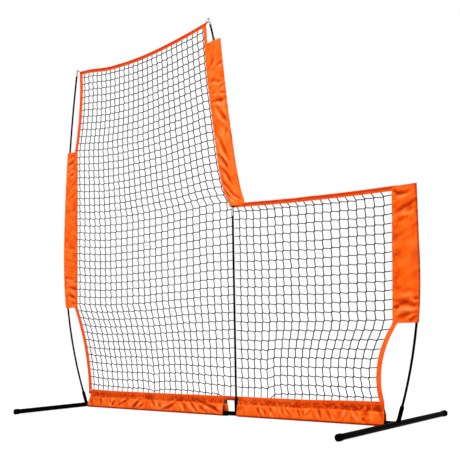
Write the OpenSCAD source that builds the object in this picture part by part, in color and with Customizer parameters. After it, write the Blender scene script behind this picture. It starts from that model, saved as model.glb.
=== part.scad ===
// Portable L-shaped pitching screen: a knock-down tube base, three bowed
// fibreglass poles and one L-shaped net held by fabric sleeves.
// X runs along the net from the tall side to the low side, Y from front to
// back and Z up from the floor. The origin is under the middle of the net.

/* [Overall] */
// Distance from the centre tee to the tall side's foot
left_reach = 1150; // [900:10:1500]
// Distance from the centre tee to the low side's foot
right_reach = 897; // [700:10:1200]
// Height at which the tall side's outer pole ends
left_pole_top = 2118; // [1700:10:2600]
// Height at which the centre pole ends
centre_pole_top = 2152; // [1700:10:2600]
// Height of the low side's net corner
low_h = 1072; // [900:10:1300]
// Overall length of each foot
foot_l = 1040; // [700:10:1400]

/* [Base tubes] */
// Diameter of the foot tubes and of the two long base tubes
tube_d = 25.4; // [22:0.1:32]
// Wall of every steel tube
tube_wall = 1.55; // [1.2:0.05:2.5]
// Running clearance between a base tube and the spigot inside it
spigot_gap = 0.15; // [0.1:0.05:0.4]
// Length of spigot inside a base tube
spigot_l = 120; // [80:5:180]
// Bare length of tee on the tall side of the centre socket
tee_bare_left = 88; // [60:1:120]
// Bare length of tee on the low side of the centre socket
tee_bare_right = 30; // [20:1:60]
// Bare length of spigot beside the tall side's foot
foot_bare_left = 25; // [18:1:60]
// Bare length of spigot beside the low side's foot
foot_bare_right = 67; // [30:1:100]

/* [Pole sockets] */
// Outer diameter of the pole sockets
socket_d = 19; // [16:0.5:24]
// Length of a tilted socket from the foot tube's axis
socket_l = 78; // [60:1:110]
// Height of the centre socket
tee_socket_h = 85; // [60:1:110]
// Outward tilt of the tall side's socket
left_tilt = 24; // [15:0.5:28]
// Outward tilt of the low side's socket
right_tilt = 18.5; // [12:0.5:24]

/* [Poles] */
// Diameter of the poles
pole_d = 11; // [9:0.5:13]
// Clearance all round a pole in its socket and ferrule
pole_gap = 0.3; // [0.2:0.05:0.5]
// Height at which the tall side's outer pole stands upright
left_upright_h = 930; // [700:10:1100]
// Inward lean of the tall side's outer pole at its top
left_lean = 8.6; // [4:0.2:12]
// Height at which the low side's pole stands upright
right_upright_h = 772; // [500:10:850]
// Depth below the notch at which the centre pole starts to lean
centre_bend_drop = 20; // [0:5:25]
// Lean of the centre pole at its top
centre_lean = 14.7; // [6:0.2:18]
// Depth of the joint in the centre pole below the notch
centre_joint_drop = 50; // [50:10:400]
// Length of a joint ferrule
ferrule_l = 46; // [30:1:80]
// Wall of the joint ferrules, the collar and the tips
ferrule_wall = 1.2; // [0.8:0.1:2]
// Length of the collar on the centre pole
collar_l = 17; // [10:1:30]
// Length of the stop ring that sets an outer pole's depth in its socket
stop_l = 8; // [5:1:15]

/* [Pole tips and links] */
// Length of pole inside its tip
tip_hold = 14; // [10:1:30]
// Height of the tip's eye above the pole's end
eye_rise = 26; // [22:1:40]
// Outer diameter of the eye
eye_d = 11; // [10:0.5:16]
// Radius of the eye's hole
eye_hole_r = 2.3; // [2.2:0.1:3]
// Wire diameter of a link
wire_d = 3; // [2.5:0.1:3.6]
// Distance between the two end bars of a link
link_l = 22; // [18:1:30]
// Width of a link between the middles of its side wires
link_w = 16; // [14:1:20]
// Swing of a link to each side
link_swing = 5; // [2:1:6]
// Direction of the tall side's link, in degrees above +X
left_link_angle = -34; // [-60:1:0]
// Direction of the centre link, in degrees above +X
centre_link_angle = -130; // [-150:1:-100]
// Distance of the net's corner beyond a link's far bar
corner_beyond = 8.5; // [6:0.5:12]
// Width of the corner loop's tape
loop_w = 7; // [5:0.5:7]

/* [Net] */
// Columns of gaps in the tall net
tall_columns = 11; // [6:1:11]
// Rows of gaps in the tall net
tall_rows = 20; // [10:1:20]
// Columns of gaps in the low net
low_columns = 8; // [5:1:8]
// Rows of gaps in the low net
low_rows = 10; // [6:1:10]
// Width of a net cord
cord_w = 3; // [2:0.1:4]
// Thickness of a net cord
cord_t = 2.4; // [1.6:0.1:3]
// Height of the net's lower edge
net_bottom = 100; // [90:1:130]
// Sag of the tall top edge
top_sag = 49; // [0:1:90]
// Sag of the low top edge
low_sag = 8; // [0:1:30]
// Rise of the low top edge at the centre
notch_rise = 38; // [0:1:40]
// Distance of the net's bottom corner inside the tall side's foot
left_bottom_inset = 42; // [20:1:80]
// Distance of the net's bottom corner inside the low side's foot
right_bottom_inset = 61; // [20:1:80]

/* [Fabric] */
// Width of the edge binding
binding_w = 22; // [16:1:30]
// Thickness of the edge binding
binding_t = 3; // [2:0.1:4]
// Wall of the fabric sleeves
fabric_t = 1.2; // [0.8:0.1:1.2]
// Height of the bottom end of the tall side's sleeve
left_sleeve_low = 600; // [400:10:750]
// Depth of the tall side's sleeve top below the pole's end
left_sleeve_drop = 520; // [400:10:800]
// Width of the tall side's sleeve from the pole to the net, at the bottom
left_sleeve_low_w = 87; // [60:1:100]
// Width of the tall side's sleeve from the pole to the net, at the top
left_sleeve_high_w = 72; // [50:1:100]
// Height of the centre sleeve's bottom end above the notch
centre_sleeve_rise = 2; // [1:1:40]
// Depth of the centre sleeve's top below the pole's end
centre_sleeve_drop = 112; // [92:1:400]
// Height of the bottom end of the low side's sleeve
right_sleeve_low = 452; // [350:10:600]
// Width of the low side's sleeve from the pole to the net, at the bottom
right_sleeve_low_w = 112; // [60:1:130]
// Width of the low side's sleeve from the pole to the net, at the top
right_sleeve_high_w = 108; // [60:1:130]
// Depth of the shallow folds in the bottom sleeves
fold_depth = 3; // [0:0.5:4]

/* [Snap buttons] */
// Radius of a button
button_r = 3.4; // [3:0.1:4]
// Clearance all round a button
button_gap = 0.1; // [0.05:0.01:0.2]
// How far a button stands out of the base tube
button_proud = 2.2; // [1.5:0.1:3]
// Distance of a button from the base tube's end
button_inset = 40; // [30:1:60]
// Width of a button's leaf spring
leaf_w = 6; // [4:0.5:6]
// Thickness of a button's leaf spring
leaf_t = 0.8; // [0.6:0.1:1]

/* [Hidden] */

$fn = 48;
// Steps per turn of the long pole arcs, which span only a few degrees
arc_fn = 720;
// Clearance between soft pieces, and what they are sewn to
soft_gap = 0.5;
// Clearance of the net's border cords from the bindings
net_gap = 0.8;
// Clearance between faces that rest on each other
seat_gap = 0.3;
// Overlap of pieces that are united or cut
eps = 0.5;

steel = "#17181a";
rubber = "#101011";
fibre = "#0d0d0e";
alloy = "#b9bab6";
nylon = "#f4611c";
cord = "#1c1c1e";

tube_r = tube_d / 2;
tube_in_r = tube_r - tube_wall;
spigot_r = tube_in_r - spigot_gap;
spigot_in_r = spigot_r - tube_wall;
pole_r = pole_d / 2;
socket_r = socket_d / 2;
socket_in_r = pole_r + pole_gap;
ferrule_r = socket_in_r + ferrule_wall;

// Heights that follow the notch and the ends of the poles
notch_z = low_h + notch_rise;
centre_bend_h = notch_z - centre_bend_drop;
centre_joint_h = notch_z - centre_joint_drop;
centre_sleeve_low = notch_z + centre_sleeve_rise;
centre_sleeve_high = centre_pole_top - centre_sleeve_drop;
left_sleeve_high = left_pole_top - left_sleeve_drop;

// Distance of the net behind the centre pole's axis
net_back = socket_r + binding_t / 2 + soft_gap;

// Foot caps: the tubes run at the height that sets the caps on small flats
cap_wall = 2.3;
cap_gap = 0.1;
cap_r = tube_r + cap_wall;
cap_flat = 0.5;
axis_h = cap_r - cap_flat;
cap_cover = 22;
cap_end = 2;
cap_dome_r = 22;
cap_dome_h = cap_dome_r - sqrt(cap_dome_r * cap_dome_r - cap_r * cap_r);
foot_tube_l = foot_l - 2 * (cap_end + cap_dome_h);

// Outer poles: distance from the tee and height of the socket's mouth, then
// the radius of the arc that brings the pole upright
function mouth_x(reach, tilt) = reach + socket_l * sin(tilt);
function mouth_z(tilt) = axis_h + socket_l * cos(tilt);
function bow_r(tilt, upright) = (upright - mouth_z(tilt)) / sin(tilt);
left_bow_r = bow_r(left_tilt, left_upright_h);
right_bow_r = bow_r(right_tilt, right_upright_h);
left_out_x = mouth_x(left_reach, left_tilt) + left_bow_r * (1 - cos(left_tilt));
right_out_x = mouth_x(right_reach, right_tilt) + right_bow_r * (1 - cos(right_tilt));
left_top_r = (left_pole_top - left_upright_h) / sin(left_lean);
centre_top_r = (centre_pole_top - centre_bend_h) / sin(centre_lean);

// Distance of a pole's axis from the tee at a height; the centre pole leans
// towards the tall side
function arc_inset(rise, r) = r * (1 - cos(asin(rise / r)));
function left_pole_x(z) = left_out_x
  - arc_inset(z - left_upright_h, z < left_upright_h ? left_bow_r : left_top_r);
function right_pole_x(z) = right_out_x - arc_inset(max(0, right_upright_h - z), right_bow_r);
function centre_pole_x(z) = -arc_inset(max(0, z - centre_bend_h), centre_top_r);

// The tee stands off the middle by half the difference of the two sides
sleeve_out = 12;
left_extent = left_out_x + sleeve_out;
right_extent = right_out_x + sleeve_out;
tee_x = (left_extent - right_extent) / 2;

// Pole tips and links: the eye lies on the pole's end tangent, and the link
// points from the eye to the net's corner
left_eye = [
  -left_pole_x(left_pole_top) + eye_rise * sin(left_lean),
  left_pole_top + eye_rise * cos(left_lean)
];
centre_eye = [
  centre_pole_x(centre_pole_top) - eye_rise * sin(centre_lean),
  centre_pole_top + eye_rise * cos(centre_lean)
];
function corner(eye, angle) = eye + (link_l + corner_beyond) * [cos(angle), sin(angle)];
left_corner = corner(left_eye, left_link_angle);
centre_corner = corner(centre_eye, centre_link_angle);

// Straight line from a to b with a bow in the middle, t from 0 to 1
function bowed(a, b, bow, t) = a + (b - a) * t + 4 * bow * t * (1 - t);
function share(z, low, high) = (z - low) / (high - low);

// Net edges, as distances from the tee. The tall side's edge is cut in below
// the sleeve, runs beside the sleeve and is scooped above it.
left_bottom_x = left_reach - left_bottom_inset;
left_low_x = left_pole_x(left_sleeve_low) - left_sleeve_low_w;
left_high_x = left_pole_x(left_sleeve_high) - left_sleeve_high_w;
left_low_scoop = -29;
left_high_scoop = -20;
left_top_x = -left_corner[0] - binding_w;
function left_edge(z) =
  z < left_sleeve_low
  ? -bowed(left_bottom_x, left_low_x, left_low_scoop, share(z, net_bottom, left_sleeve_low))
  : z < left_sleeve_high
  ? -bowed(left_low_x, left_high_x, 0, share(z, left_sleeve_low, left_sleeve_high))
  : -bowed(
      left_high_x, left_top_x, left_high_scoop,
      share(z, left_sleeve_high, left_corner[1])
    );

notch_x = -30;
centre_scoop = -28;
centre_top_x = centre_corner[0] - binding_w;
function centre_edge(z) =
  bowed(notch_x, centre_top_x, centre_scoop, share(z, notch_z, centre_corner[1]));

right_bottom_x = right_reach - right_bottom_inset;
right_low_x = right_pole_x(right_sleeve_low) - right_sleeve_low_w;
right_high_x = right_out_x - right_sleeve_high_w;
right_low_scoop = -41;
function right_edge(z) =
  z < right_sleeve_low
  ? bowed(right_bottom_x, right_low_x, right_low_scoop, share(z, net_bottom, right_sleeve_low))
  : bowed(right_low_x, right_high_x, 0, share(z, right_sleeve_low, low_h));

// Top edges of the bindings
function top_edge(x) =
  bowed(left_corner[1], centre_corner[1], -top_sag, share(x, left_corner[0], centre_corner[0]));
function low_top_edge(x) =
  bowed(notch_z, low_h, -low_sag, share(x, notch_x, right_high_x));

// The net is pushed back where it passes behind the centre pole and socket
push_reach = 600;
push_full_h = notch_z + 10;
push_end_h = push_full_h + 780;
function pushed(x, z) =
  net_back
  * pow(max(0, 1 - abs(x) / push_reach), 2)
  * min(1, max(0, (push_end_h - z) / (push_end_h - push_full_h)));

// Panels: place in the net for u from left to right and v from bottom to top
seam_gap = 0.6;
seam_drop = 98;
function tall_right(z) =
  z < notch_z - seam_drop ? -seam_gap : centre_edge(max(z, notch_z)) - net_gap;
function tall_top_x(u) = (left_corner[0] + binding_w) * (1 - u) + centre_top_x * u;
function tall_place(u, v) =
  let (
    z = (net_bottom + net_gap) * (1 - v)
      + (top_edge(tall_top_x(u)) - binding_w - net_gap) * v
  )
  [(left_edge(z) + net_gap) * (1 - u) + tall_right(z) * u, z];
function low_place(u, v) =
  let (
    z = (net_bottom + net_gap) * (1 - v)
      + (low_top_edge(right_high_x * u) - binding_w - net_gap) * v
  )
  [seam_gap * (1 - u) + (right_edge(z) - net_gap) * u, z];

// Edges of the cords across a panel: the outer cords lie inside the border
function cord_edges(count, half) = [
  for (i = [0:count])
    let (middle = i == 0 ? half : i == count ? 1 - half : i / count)
    each [middle - half, middle + half]
];

function quad(a, b, c, d) = [[a, b, c], [a, c, d]];
function other_quad(a, b, c, d) = [[a, b, d], [b, c, d]];

// Faces of a closed skin through rings of n points each, capped at both ends
function skin_faces(n, rings) = concat(
  [
    for (j = [0:rings - 2], k = [0:n - 1])
      each quad(j * n + k, j * n + (k + 1) % n, (j + 1) * n + (k + 1) % n, (j + 1) * n + k)
  ],
  [for (k = [1:n - 2]) [0, k + 1, k]],
  [for (k = [1:n - 2]) [(rings - 1) * n, (rings - 1) * n + k, (rings - 1) * n + k + 1]]
);

// Faces between ring j and the next of several rings of n points. The second
// half of a ring, and rings that come down inside, are split the other way, so
// that walls which lie close together twist alike.
function wall_faces(n, rings, j) =
  let (next = (j + 1) % rings)
  [
    for (k = [0:n - 1])
      let (a = j * n + k, b = j * n + (k + 1) % n, c = next * n + (k + 1) % n, d = next * n + k)
      each ((j < rings / 2) == (k < (n - 1) / 2) ? quad(a, b, c, d) : other_quad(a, b, c, d))
  ];

// Faces of a hollow skin: the rings go up outside, down inside and join again
function loop_faces(n, rings) = [for (j = [0:rings - 1]) each wall_faces(n, rings, j)];

// Cap over a ring that is as wide in front as behind, in strips across it
function strip_cap(start, n) = [
  for (
    f = concat(
      [[0, 1, n - 1]],
      [for (k = [1:n / 2 - 2]) each quad(k, k + 1, n - k - 1, n - k)],
      [[n / 2 - 1, n / 2, n / 2 + 1]]
    )
  )
    [start + f[0], start + f[1], start + f[2]]
];
function flipped(faces) = [for (f = faces) [f[0], f[2], f[1]]];

// Lays children out along a tee-based frame
module at_tee() {
  translate([tee_x, 0, 0]) children();
}

// Children drawn with X pointing to the tall side
module tall_side() {
  at_tee() mirror([1, 0, 0]) children();
}

// A rod along an arc in the XZ plane, from angle a to angle b above +X
module arc_rod(middle, radius, rod_r, a, b) {
  translate([middle[0], 0, middle[1]])
    rotate([90, 0, 0])
    rotate([0, 0, a])
    rotate_extrude(angle = b - a, $fn = arc_fn)
    translate([radius, 0])
    circle(rod_r, $fn = 32);
}

// A straight rod in the XZ plane from a point, leaning by an angle towards +X
module lean_rod(from, lean, length, rod_r) {
  translate([from[0], 0, from[1]]) rotate([0, lean, 0]) cylinder(h = length, r = rod_r);
}

// ---- Base ----

// Foot tube, tilted socket and spigot towards the tee, with +X pointing out
module foot(reach, tilt, bare) {
  spigot_end = reach - tube_r - bare - spigot_l;
  difference() {
    union() {
      translate([reach, foot_tube_l / 2, axis_h])
        rotate([90, 0, 0])
        cylinder(h = foot_tube_l, r = tube_r);
      lean_rod([reach, axis_h], tilt, socket_l, socket_r);
      translate([spigot_end, 0, axis_h])
        rotate([0, 90, 0])
        cylinder(h = reach - spigot_end, r = spigot_r);
    }
    translate([reach, foot_tube_l / 2 + eps, axis_h])
      rotate([90, 0, 0])
      cylinder(h = foot_tube_l + 2 * eps, r = tube_in_r);
    translate([reach, 0, axis_h])
      rotate([0, tilt, 0])
      translate([0, 0, tube_r + seat_gap])
      cylinder(h = socket_l, r = socket_in_r);
    translate([spigot_end - eps, 0, axis_h])
      rotate([0, 90, 0])
      cylinder(h = reach - tube_r - spigot_end, r = spigot_in_r);
    button_hole(reach - tube_r - bare - button_inset);
  }
}

// Hole for a snap button, down through the top of a tube along X
module button_hole(x) {
  translate([x, 0, axis_h]) cylinder(h = tube_r + eps, r = button_r + button_gap);
}

module foot_left() {
  color(steel) tall_side() foot(left_reach, left_tilt, foot_bare_left);
}

module foot_right() {
  color(steel) at_tee() foot(right_reach, right_tilt, foot_bare_right);
}

// Domed cup over the front end of a foot tube, with a small flat underneath
module foot_cap(x) {
  mouth_y = -foot_tube_l / 2 + cap_cover;
  end_y = -foot_l / 2;
  color(rubber)
    at_tee()
    difference() {
      intersection() {
        translate([x, mouth_y, axis_h]) rotate([90, 0, 0]) cylinder(h = mouth_y - end_y, r = cap_r);
        translate([x, end_y + cap_dome_r, axis_h])
          union() {
            sphere(cap_dome_r);
            rotate([-90, 0, 0]) cylinder(h = cap_cover, r = cap_dome_r);
          }
      }
      translate([x, mouth_y + eps, axis_h])
        rotate([90, 0, 0])
        cylinder(h = cap_cover + eps + cap_gap, r = tube_r + cap_gap);
      translate([x - cap_r, end_y - eps, -cap_r]) cube([2 * cap_r, foot_l, cap_r]);
    }
}

module foot_cap_left_front() {
  foot_cap(-left_reach);
}

module foot_cap_left_back() {
  mirror([0, 1, 0]) foot_cap(-left_reach);
}

module foot_cap_right_front() {
  foot_cap(right_reach);
}

module foot_cap_right_back() {
  mirror([0, 1, 0]) foot_cap(right_reach);
}

// Ends of the two long base tubes, as places along X from the tee
base_left_outer = -(left_reach - tube_r - foot_bare_left);
base_left_inner = -tee_bare_left;
base_right_inner = tee_bare_right;
base_right_outer = right_reach - tube_r - foot_bare_right;

// Long base tube with a button hole near each end
module base_tube(from, to) {
  color(steel)
    at_tee()
    difference() {
      translate([from, 0, axis_h]) rotate([0, 90, 0]) cylinder(h = to - from, r = tube_r);
      translate([from - eps, 0, axis_h])
        rotate([0, 90, 0])
        cylinder(h = to - from + 2 * eps, r = tube_in_r);
      button_hole(from + button_inset);
      button_hole(to - button_inset);
    }
}

module base_tube_left() {
  base_tube(base_left_outer, base_left_inner);
}

module base_tube_right() {
  base_tube(base_right_inner, base_right_outer);
}

// Centre tee: one through spigot with the upright socket welded on it
module centre_tee() {
  from = base_left_inner - spigot_l;
  to = base_right_inner + spigot_l;
  color(steel)
    at_tee()
    difference() {
      union() {
        translate([from, 0, axis_h]) rotate([0, 90, 0]) cylinder(h = to - from, r = spigot_r);
        translate([0, 0, axis_h]) cylinder(h = tee_socket_h - axis_h, r = socket_r);
      }
      translate([from - eps, 0, axis_h])
        rotate([0, 90, 0])
        cylinder(h = to - from + 2 * eps, r = spigot_in_r);
      translate([0, 0, axis_h + spigot_r + seat_gap])
        cylinder(h = tee_socket_h, r = socket_in_r);
      button_hole(base_left_inner - button_inset);
      button_hole(base_right_inner + button_inset);
    }
}

// ---- Snap buttons ----

flange_r = button_r + 1.2;
flange_t = 1.2;
flange_top = sqrt(spigot_in_r * spigot_in_r - flange_r * flange_r) - button_gap;
leaf_bottom = -sqrt(spigot_in_r * spigot_in_r - leaf_w * leaf_w / 4) + button_gap;
leaf_top = flange_top - flange_t - button_gap;
leaf_run = 22;
leaf_foot = 8;
leaf_head = 4.5;
leaf_knee = 4;

// Domed button on a flange that stays inside the spigot
module snap_button(x) {
  dome_r = button_r * 1.3;
  color(alloy)
    at_tee()
    translate([x, 0, axis_h])
    union() {
      translate([0, 0, flange_top - flange_t]) cylinder(h = flange_t, r = flange_r);
      intersection() {
        translate([0, 0, flange_top - flange_t / 2])
          cylinder(h = tube_r + button_proud - flange_top + flange_t / 2, r = button_r);
        translate([0, 0, tube_r + button_proud - dome_r])
          union() {
            sphere(dome_r);
            translate([0, 0, -2 * tube_r]) cylinder(h = 2 * tube_r, r = dome_r);
          }
      }
    }
}

module snap_button_foot_left() {
  snap_button(base_left_outer + button_inset);
}

module snap_button_tee_left() {
  snap_button(base_left_inner - button_inset);
}

module snap_button_tee_right() {
  snap_button(base_right_inner + button_inset);
}

module snap_button_foot_right() {
  snap_button(base_right_outer - button_inset);
}

// V-shaped leaf spring between the spigot's bottom and the button's flange
module leaf_spring(x) {
  color(alloy)
    at_tee()
    translate([x, leaf_w / 2, axis_h])
    rotate([90, 0, 0])
    linear_extrude(leaf_w)
    polygon([
      [-leaf_run, leaf_bottom],
      [leaf_foot, leaf_bottom],
      [leaf_foot, leaf_bottom + leaf_t],
      [-leaf_run + 3 * leaf_t, leaf_bottom + leaf_t],
      [-leaf_knee, leaf_top - leaf_t],
      [leaf_head, leaf_top - leaf_t],
      [leaf_head, leaf_top],
      [-leaf_knee - leaf_t, leaf_top],
      [-leaf_run - leaf_t, leaf_bottom + leaf_t]
    ]);
}

module leaf_spring_foot_left() {
  leaf_spring(base_left_outer + button_inset);
}

module leaf_spring_tee_left() {
  leaf_spring(base_left_inner - button_inset);
}

module leaf_spring_tee_right() {
  leaf_spring(base_right_inner + button_inset);
}

module leaf_spring_foot_right() {
  leaf_spring(base_right_outer - button_inset);
}

// ---- Poles ----

pole_foot = tube_r + 2 * seat_gap;
stop_wall = 1.2;

// Lower run of an outer pole, from its seat in the socket up its bow, with a
// stop ring on the socket's mouth. It ends short of upright by end_gap. Its
// arc is drawn from the upright end, so that a straight end meets it exactly.
module bow_pole(reach, tilt, upright, radius, out_x, end_gap) {
  union() {
    translate([reach, 0, axis_h])
      rotate([0, tilt, 0]) {
        translate([0, 0, pole_foot])
          cylinder(h = socket_l + stop_l / 2 - pole_foot, r = pole_r, $fn = 32);
        translate([0, 0, socket_l + seat_gap])
          cylinder(h = stop_l, r = pole_r + stop_wall);
      }
    translate([0, 0, upright])
      mirror([0, 0, 1])
      arc_rod(
        [out_x - radius, 0], radius, pole_r,
        asin(end_gap / radius), tilt - asin(stop_l / 4 / radius)
      );
  }
}

// The tall side's pole is jointed where it stands upright
module left_pole_lower() {
  color(fibre)
    tall_side()
    bow_pole(left_reach, left_tilt, left_upright_h, left_bow_r, left_out_x, seat_gap / 2);
}

module left_pole_upper() {
  color(fibre)
    tall_side()
    arc_rod(
      [left_out_x - left_top_r, left_upright_h],
      left_top_r, pole_r, asin(seat_gap / 2 / left_top_r), left_lean
    );
}

// Tube over the butted ends of two pole sections
module ferrule() {
  difference() {
    translate([0, 0, -ferrule_l / 2]) cylinder(h = ferrule_l, r = ferrule_r);
    translate([0, 0, -ferrule_l / 2 - eps]) cylinder(h = ferrule_l + 2 * eps, r = socket_in_r);
  }
}

module left_pole_ferrule() {
  color(alloy) tall_side() translate([left_out_x, 0, left_upright_h]) ferrule();
}

module centre_pole_lower() {
  foot_z = axis_h + spigot_r + 2 * seat_gap;
  color(fibre)
    at_tee()
    translate([0, 0, foot_z])
    cylinder(h = centre_joint_h - seat_gap / 2 - foot_z, r = pole_r, $fn = 32);
}

module centre_pole_upper() {
  color(fibre)
    at_tee()
    union() {
      translate([0, 0, centre_joint_h + seat_gap / 2])
        cylinder(h = centre_bend_h - centre_joint_h - seat_gap / 2, r = pole_r, $fn = 32);
      arc_rod([-centre_top_r, centre_bend_h], centre_top_r, pole_r, 0, centre_lean);
    }
}

module centre_pole_ferrule() {
  color(alloy) at_tee() translate([0, 0, centre_joint_h]) ferrule();
}

// Short collar that stops the centre sleeve from riding up
module centre_pole_collar() {
  above_sleeve = 6;
  middle_z = centre_sleeve_high + above_sleeve + collar_l / 2;
  lean = asin((middle_z - centre_bend_h) / centre_top_r);
  color(alloy)
    at_tee()
    translate([centre_pole_x(middle_z), 0, middle_z])
    rotate([0, -lean, 0])
    translate([0, 0, -collar_l / 2])
    difference() {
      cylinder(h = collar_l, r = ferrule_r);
      translate([0, 0, -eps]) cylinder(h = collar_l + 2 * eps, r = socket_in_r);
    }
}

// Tapered cap over a pole's end, with a thin neck and an eye
module pole_tip() {
  neck_r = 3.6;
  cone_h = 9;
  roof = 2;
  color(alloy)
    difference() {
      union() {
        translate([0, 0, -tip_hold]) cylinder(h = tip_hold + roof, r = ferrule_r);
        translate([0, 0, roof]) cylinder(h = cone_h, r1 = ferrule_r, r2 = neck_r);
        translate([0, 0, roof + cone_h - eps])
          cylinder(h = eye_rise - roof - cone_h - eye_hole_r, r = neck_r);
        translate([0, loop_w / 3, eye_rise])
          rotate([90, 0, 0])
          cylinder(h = 2 * loop_w / 3, r = eye_d / 2);
      }
      translate([0, 0, -tip_hold - eps])
        cylinder(h = tip_hold + eps + seat_gap, r = socket_in_r);
      translate([0, loop_w, eye_rise]) rotate([90, 0, 0]) cylinder(h = 2 * loop_w, r = eye_hole_r);
    }
}

module left_pole_tip() {
  at_tee()
    translate([-left_pole_x(left_pole_top), 0, left_pole_top])
    rotate([0, left_lean, 0])
    pole_tip();
}

module centre_pole_tip() {
  at_tee()
    translate([centre_pole_x(centre_pole_top), 0, centre_pole_top])
    rotate([0, -centre_lean, 0])
    pole_tip();
}

right_pole_drop = 20;
right_pole_top = low_h - right_pole_drop;
cap_roof = 2;

module right_pole() {
  color(fibre)
    at_tee()
    union() {
      bow_pole(right_reach, right_tilt, right_upright_h, right_bow_r, right_out_x, 0);
      translate([right_out_x, 0, right_upright_h])
        cylinder(h = right_pole_top - right_upright_h, r = pole_r, $fn = 32);
    }
}

// Soft plug over the end of the low side's pole, under the closed sleeve
module right_pole_cap() {
  plug_l = 18;
  plug_wall = 0.9;
  color(rubber)
    at_tee()
    translate([right_out_x, 0, right_pole_top + cap_roof - plug_l])
    difference() {
      cylinder(h = plug_l, r = pole_r + cap_gap + plug_wall);
      translate([0, 0, -eps]) cylinder(h = plug_l - cap_roof + 2 * eps, r = pole_r + cap_gap);
    }
}

// ---- Corner links and loops ----

// Rectangular wire link in the plane of X and Y, its first bar at the origin
module link() {
  wire_r = wire_d / 2;
  bend_r = 4;
  half_w = link_w / 2;
  color(alloy)
    union() {
      for (end = [0, 1]) {
        translate([end * link_l, half_w - bend_r, 0])
          rotate([90, 0, 0])
          cylinder(h = link_w - 2 * bend_r, r = wire_r);
        for (side = [-1, 1])
          translate([end == 0 ? bend_r : link_l - bend_r, side * (half_w - bend_r), 0])
            rotate([0, 0, end == 0 ? (side > 0 ? 90 : 180) : (side > 0 ? 0 : 270)])
            rotate_extrude(angle = 90)
            translate([bend_r, 0])
            circle(wire_r);
      }
      for (side = [-1, 1])
        translate([bend_r, side * half_w, 0])
          rotate([0, 90, 0])
          cylinder(h = link_l - 2 * bend_r, r = wire_r);
    }
}

module left_link() {
  at_tee() translate([left_eye[0], 0, left_eye[1]]) rotate([0, -left_link_angle, 0]) link();
}

module centre_link() {
  at_tee() translate([centre_eye[0], 0, centre_eye[1]]) rotate([0, -centre_link_angle, 0]) link();
}

// Tape loop round a link's far bar, with a tail sewn to the net's corner.
// X runs along the link from the eye.
module corner_loop() {
  tape = 1.4;
  play = wire_d / 2 + link_l * tan(link_swing) + seat_gap;
  hole_r = wire_d / 2 + seat_gap;
  tail_from = link_l + hole_r;
  tail_l = 11;
  tail_h = 3;
  color(nylon)
    difference() {
      union() {
        translate([link_l - hole_r - tape, -loop_w / 2, -play - tape])
          cube([2 * (hole_r + tape), loop_w, 2 * (play + tape)]);
        translate([tail_from, -loop_w / 2, -tail_h / 2])
          cube([tail_l, loop_w / 2 - binding_t / 2 - soft_gap, tail_h]);
      }
      translate([link_l - hole_r, -loop_w, -play]) cube([2 * hole_r, 2 * loop_w, 2 * play]);
    }
}

module left_corner_loop() {
  at_tee()
    translate([left_eye[0], 0, left_eye[1]])
    rotate([0, -left_link_angle, 0])
    corner_loop();
}

module centre_corner_loop() {
  at_tee()
    translate([centre_eye[0], 0, centre_eye[1]])
    rotate([0, -centre_link_angle, 0])
    corner_loop();
}

// ---- Net ----

// A flat net as one mesh: a grid of cord edges, skinned in front and behind,
// with walls round each gap and round the border. Its points are given as
// rows of [x, z].
module net_mesh(points, columns, rows) {
  across = 2 * columns + 2;
  up = 2 * rows + 2;
  count = across * up;
  function at(a, b) = a + b * across;
  function gap(a, b) = a % 2 == 1 && b % 2 == 1;
  solid_cells = [
    for (b = [0:up - 2], a = [0:across - 2]) if (!gap(a, b)) [a, b]
  ];
  gap_cells = [for (b = [0:up - 2], a = [0:across - 2]) if (gap(a, b)) [a, b]];
  verts = [
    for (side = [-1, 1], row = points, p = row)
      [p[0], pushed(p[0], p[1]) + side * cord_t / 2, p[1]]
  ];
  function wall(p, q) = quad(p, q, q + count, p + count);
  faces = concat(
    [
      for (c = solid_cells)
        each quad(
          at(c[0], c[1]), at(c[0], c[1] + 1), at(c[0] + 1, c[1] + 1), at(c[0] + 1, c[1])
        )
    ],
    [
      for (c = solid_cells)
        each quad(
          count + at(c[0], c[1]), count + at(c[0] + 1, c[1]),
          count + at(c[0] + 1, c[1] + 1), count + at(c[0], c[1] + 1)
        )
    ],
    [
      for (c = gap_cells)
        each concat(
          wall(at(c[0], c[1]), at(c[0], c[1] + 1)),
          wall(at(c[0], c[1] + 1), at(c[0] + 1, c[1] + 1)),
          wall(at(c[0] + 1, c[1] + 1), at(c[0] + 1, c[1])),
          wall(at(c[0] + 1, c[1]), at(c[0], c[1]))
        )
    ],
    [for (a = [0:across - 2]) each wall(at(a, 0), at(a + 1, 0))],
    [for (a = [0:across - 2]) each wall(at(a + 1, up - 1), at(a, up - 1))],
    [for (b = [0:up - 2]) each wall(at(0, b + 1), at(0, b))],
    [for (b = [0:up - 2]) each wall(at(across - 1, b), at(across - 1, b + 1))]
  );
  color(cord) at_tee() polyhedron(verts, faces);
}

tall_width = -left_edge(net_bottom);
tall_height = left_corner[1] - net_bottom;
low_width = right_edge(net_bottom);
low_height = low_h - net_bottom;

module net_tall() {
  us = cord_edges(tall_columns, cord_w / 2 / tall_width);
  vs = cord_edges(tall_rows, cord_w / 2 / tall_height);
  net_mesh([for (v = vs) [for (u = us) tall_place(u, v)]], tall_columns, tall_rows);
}

module net_low() {
  us = cord_edges(low_columns, cord_w / 2 / low_width);
  vs = cord_edges(low_rows, cord_w / 2 / low_height);
  net_mesh([for (v = vs) [for (u = us) low_place(u, v)]], low_columns, low_rows);
}

// ---- Bindings ----

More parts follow.
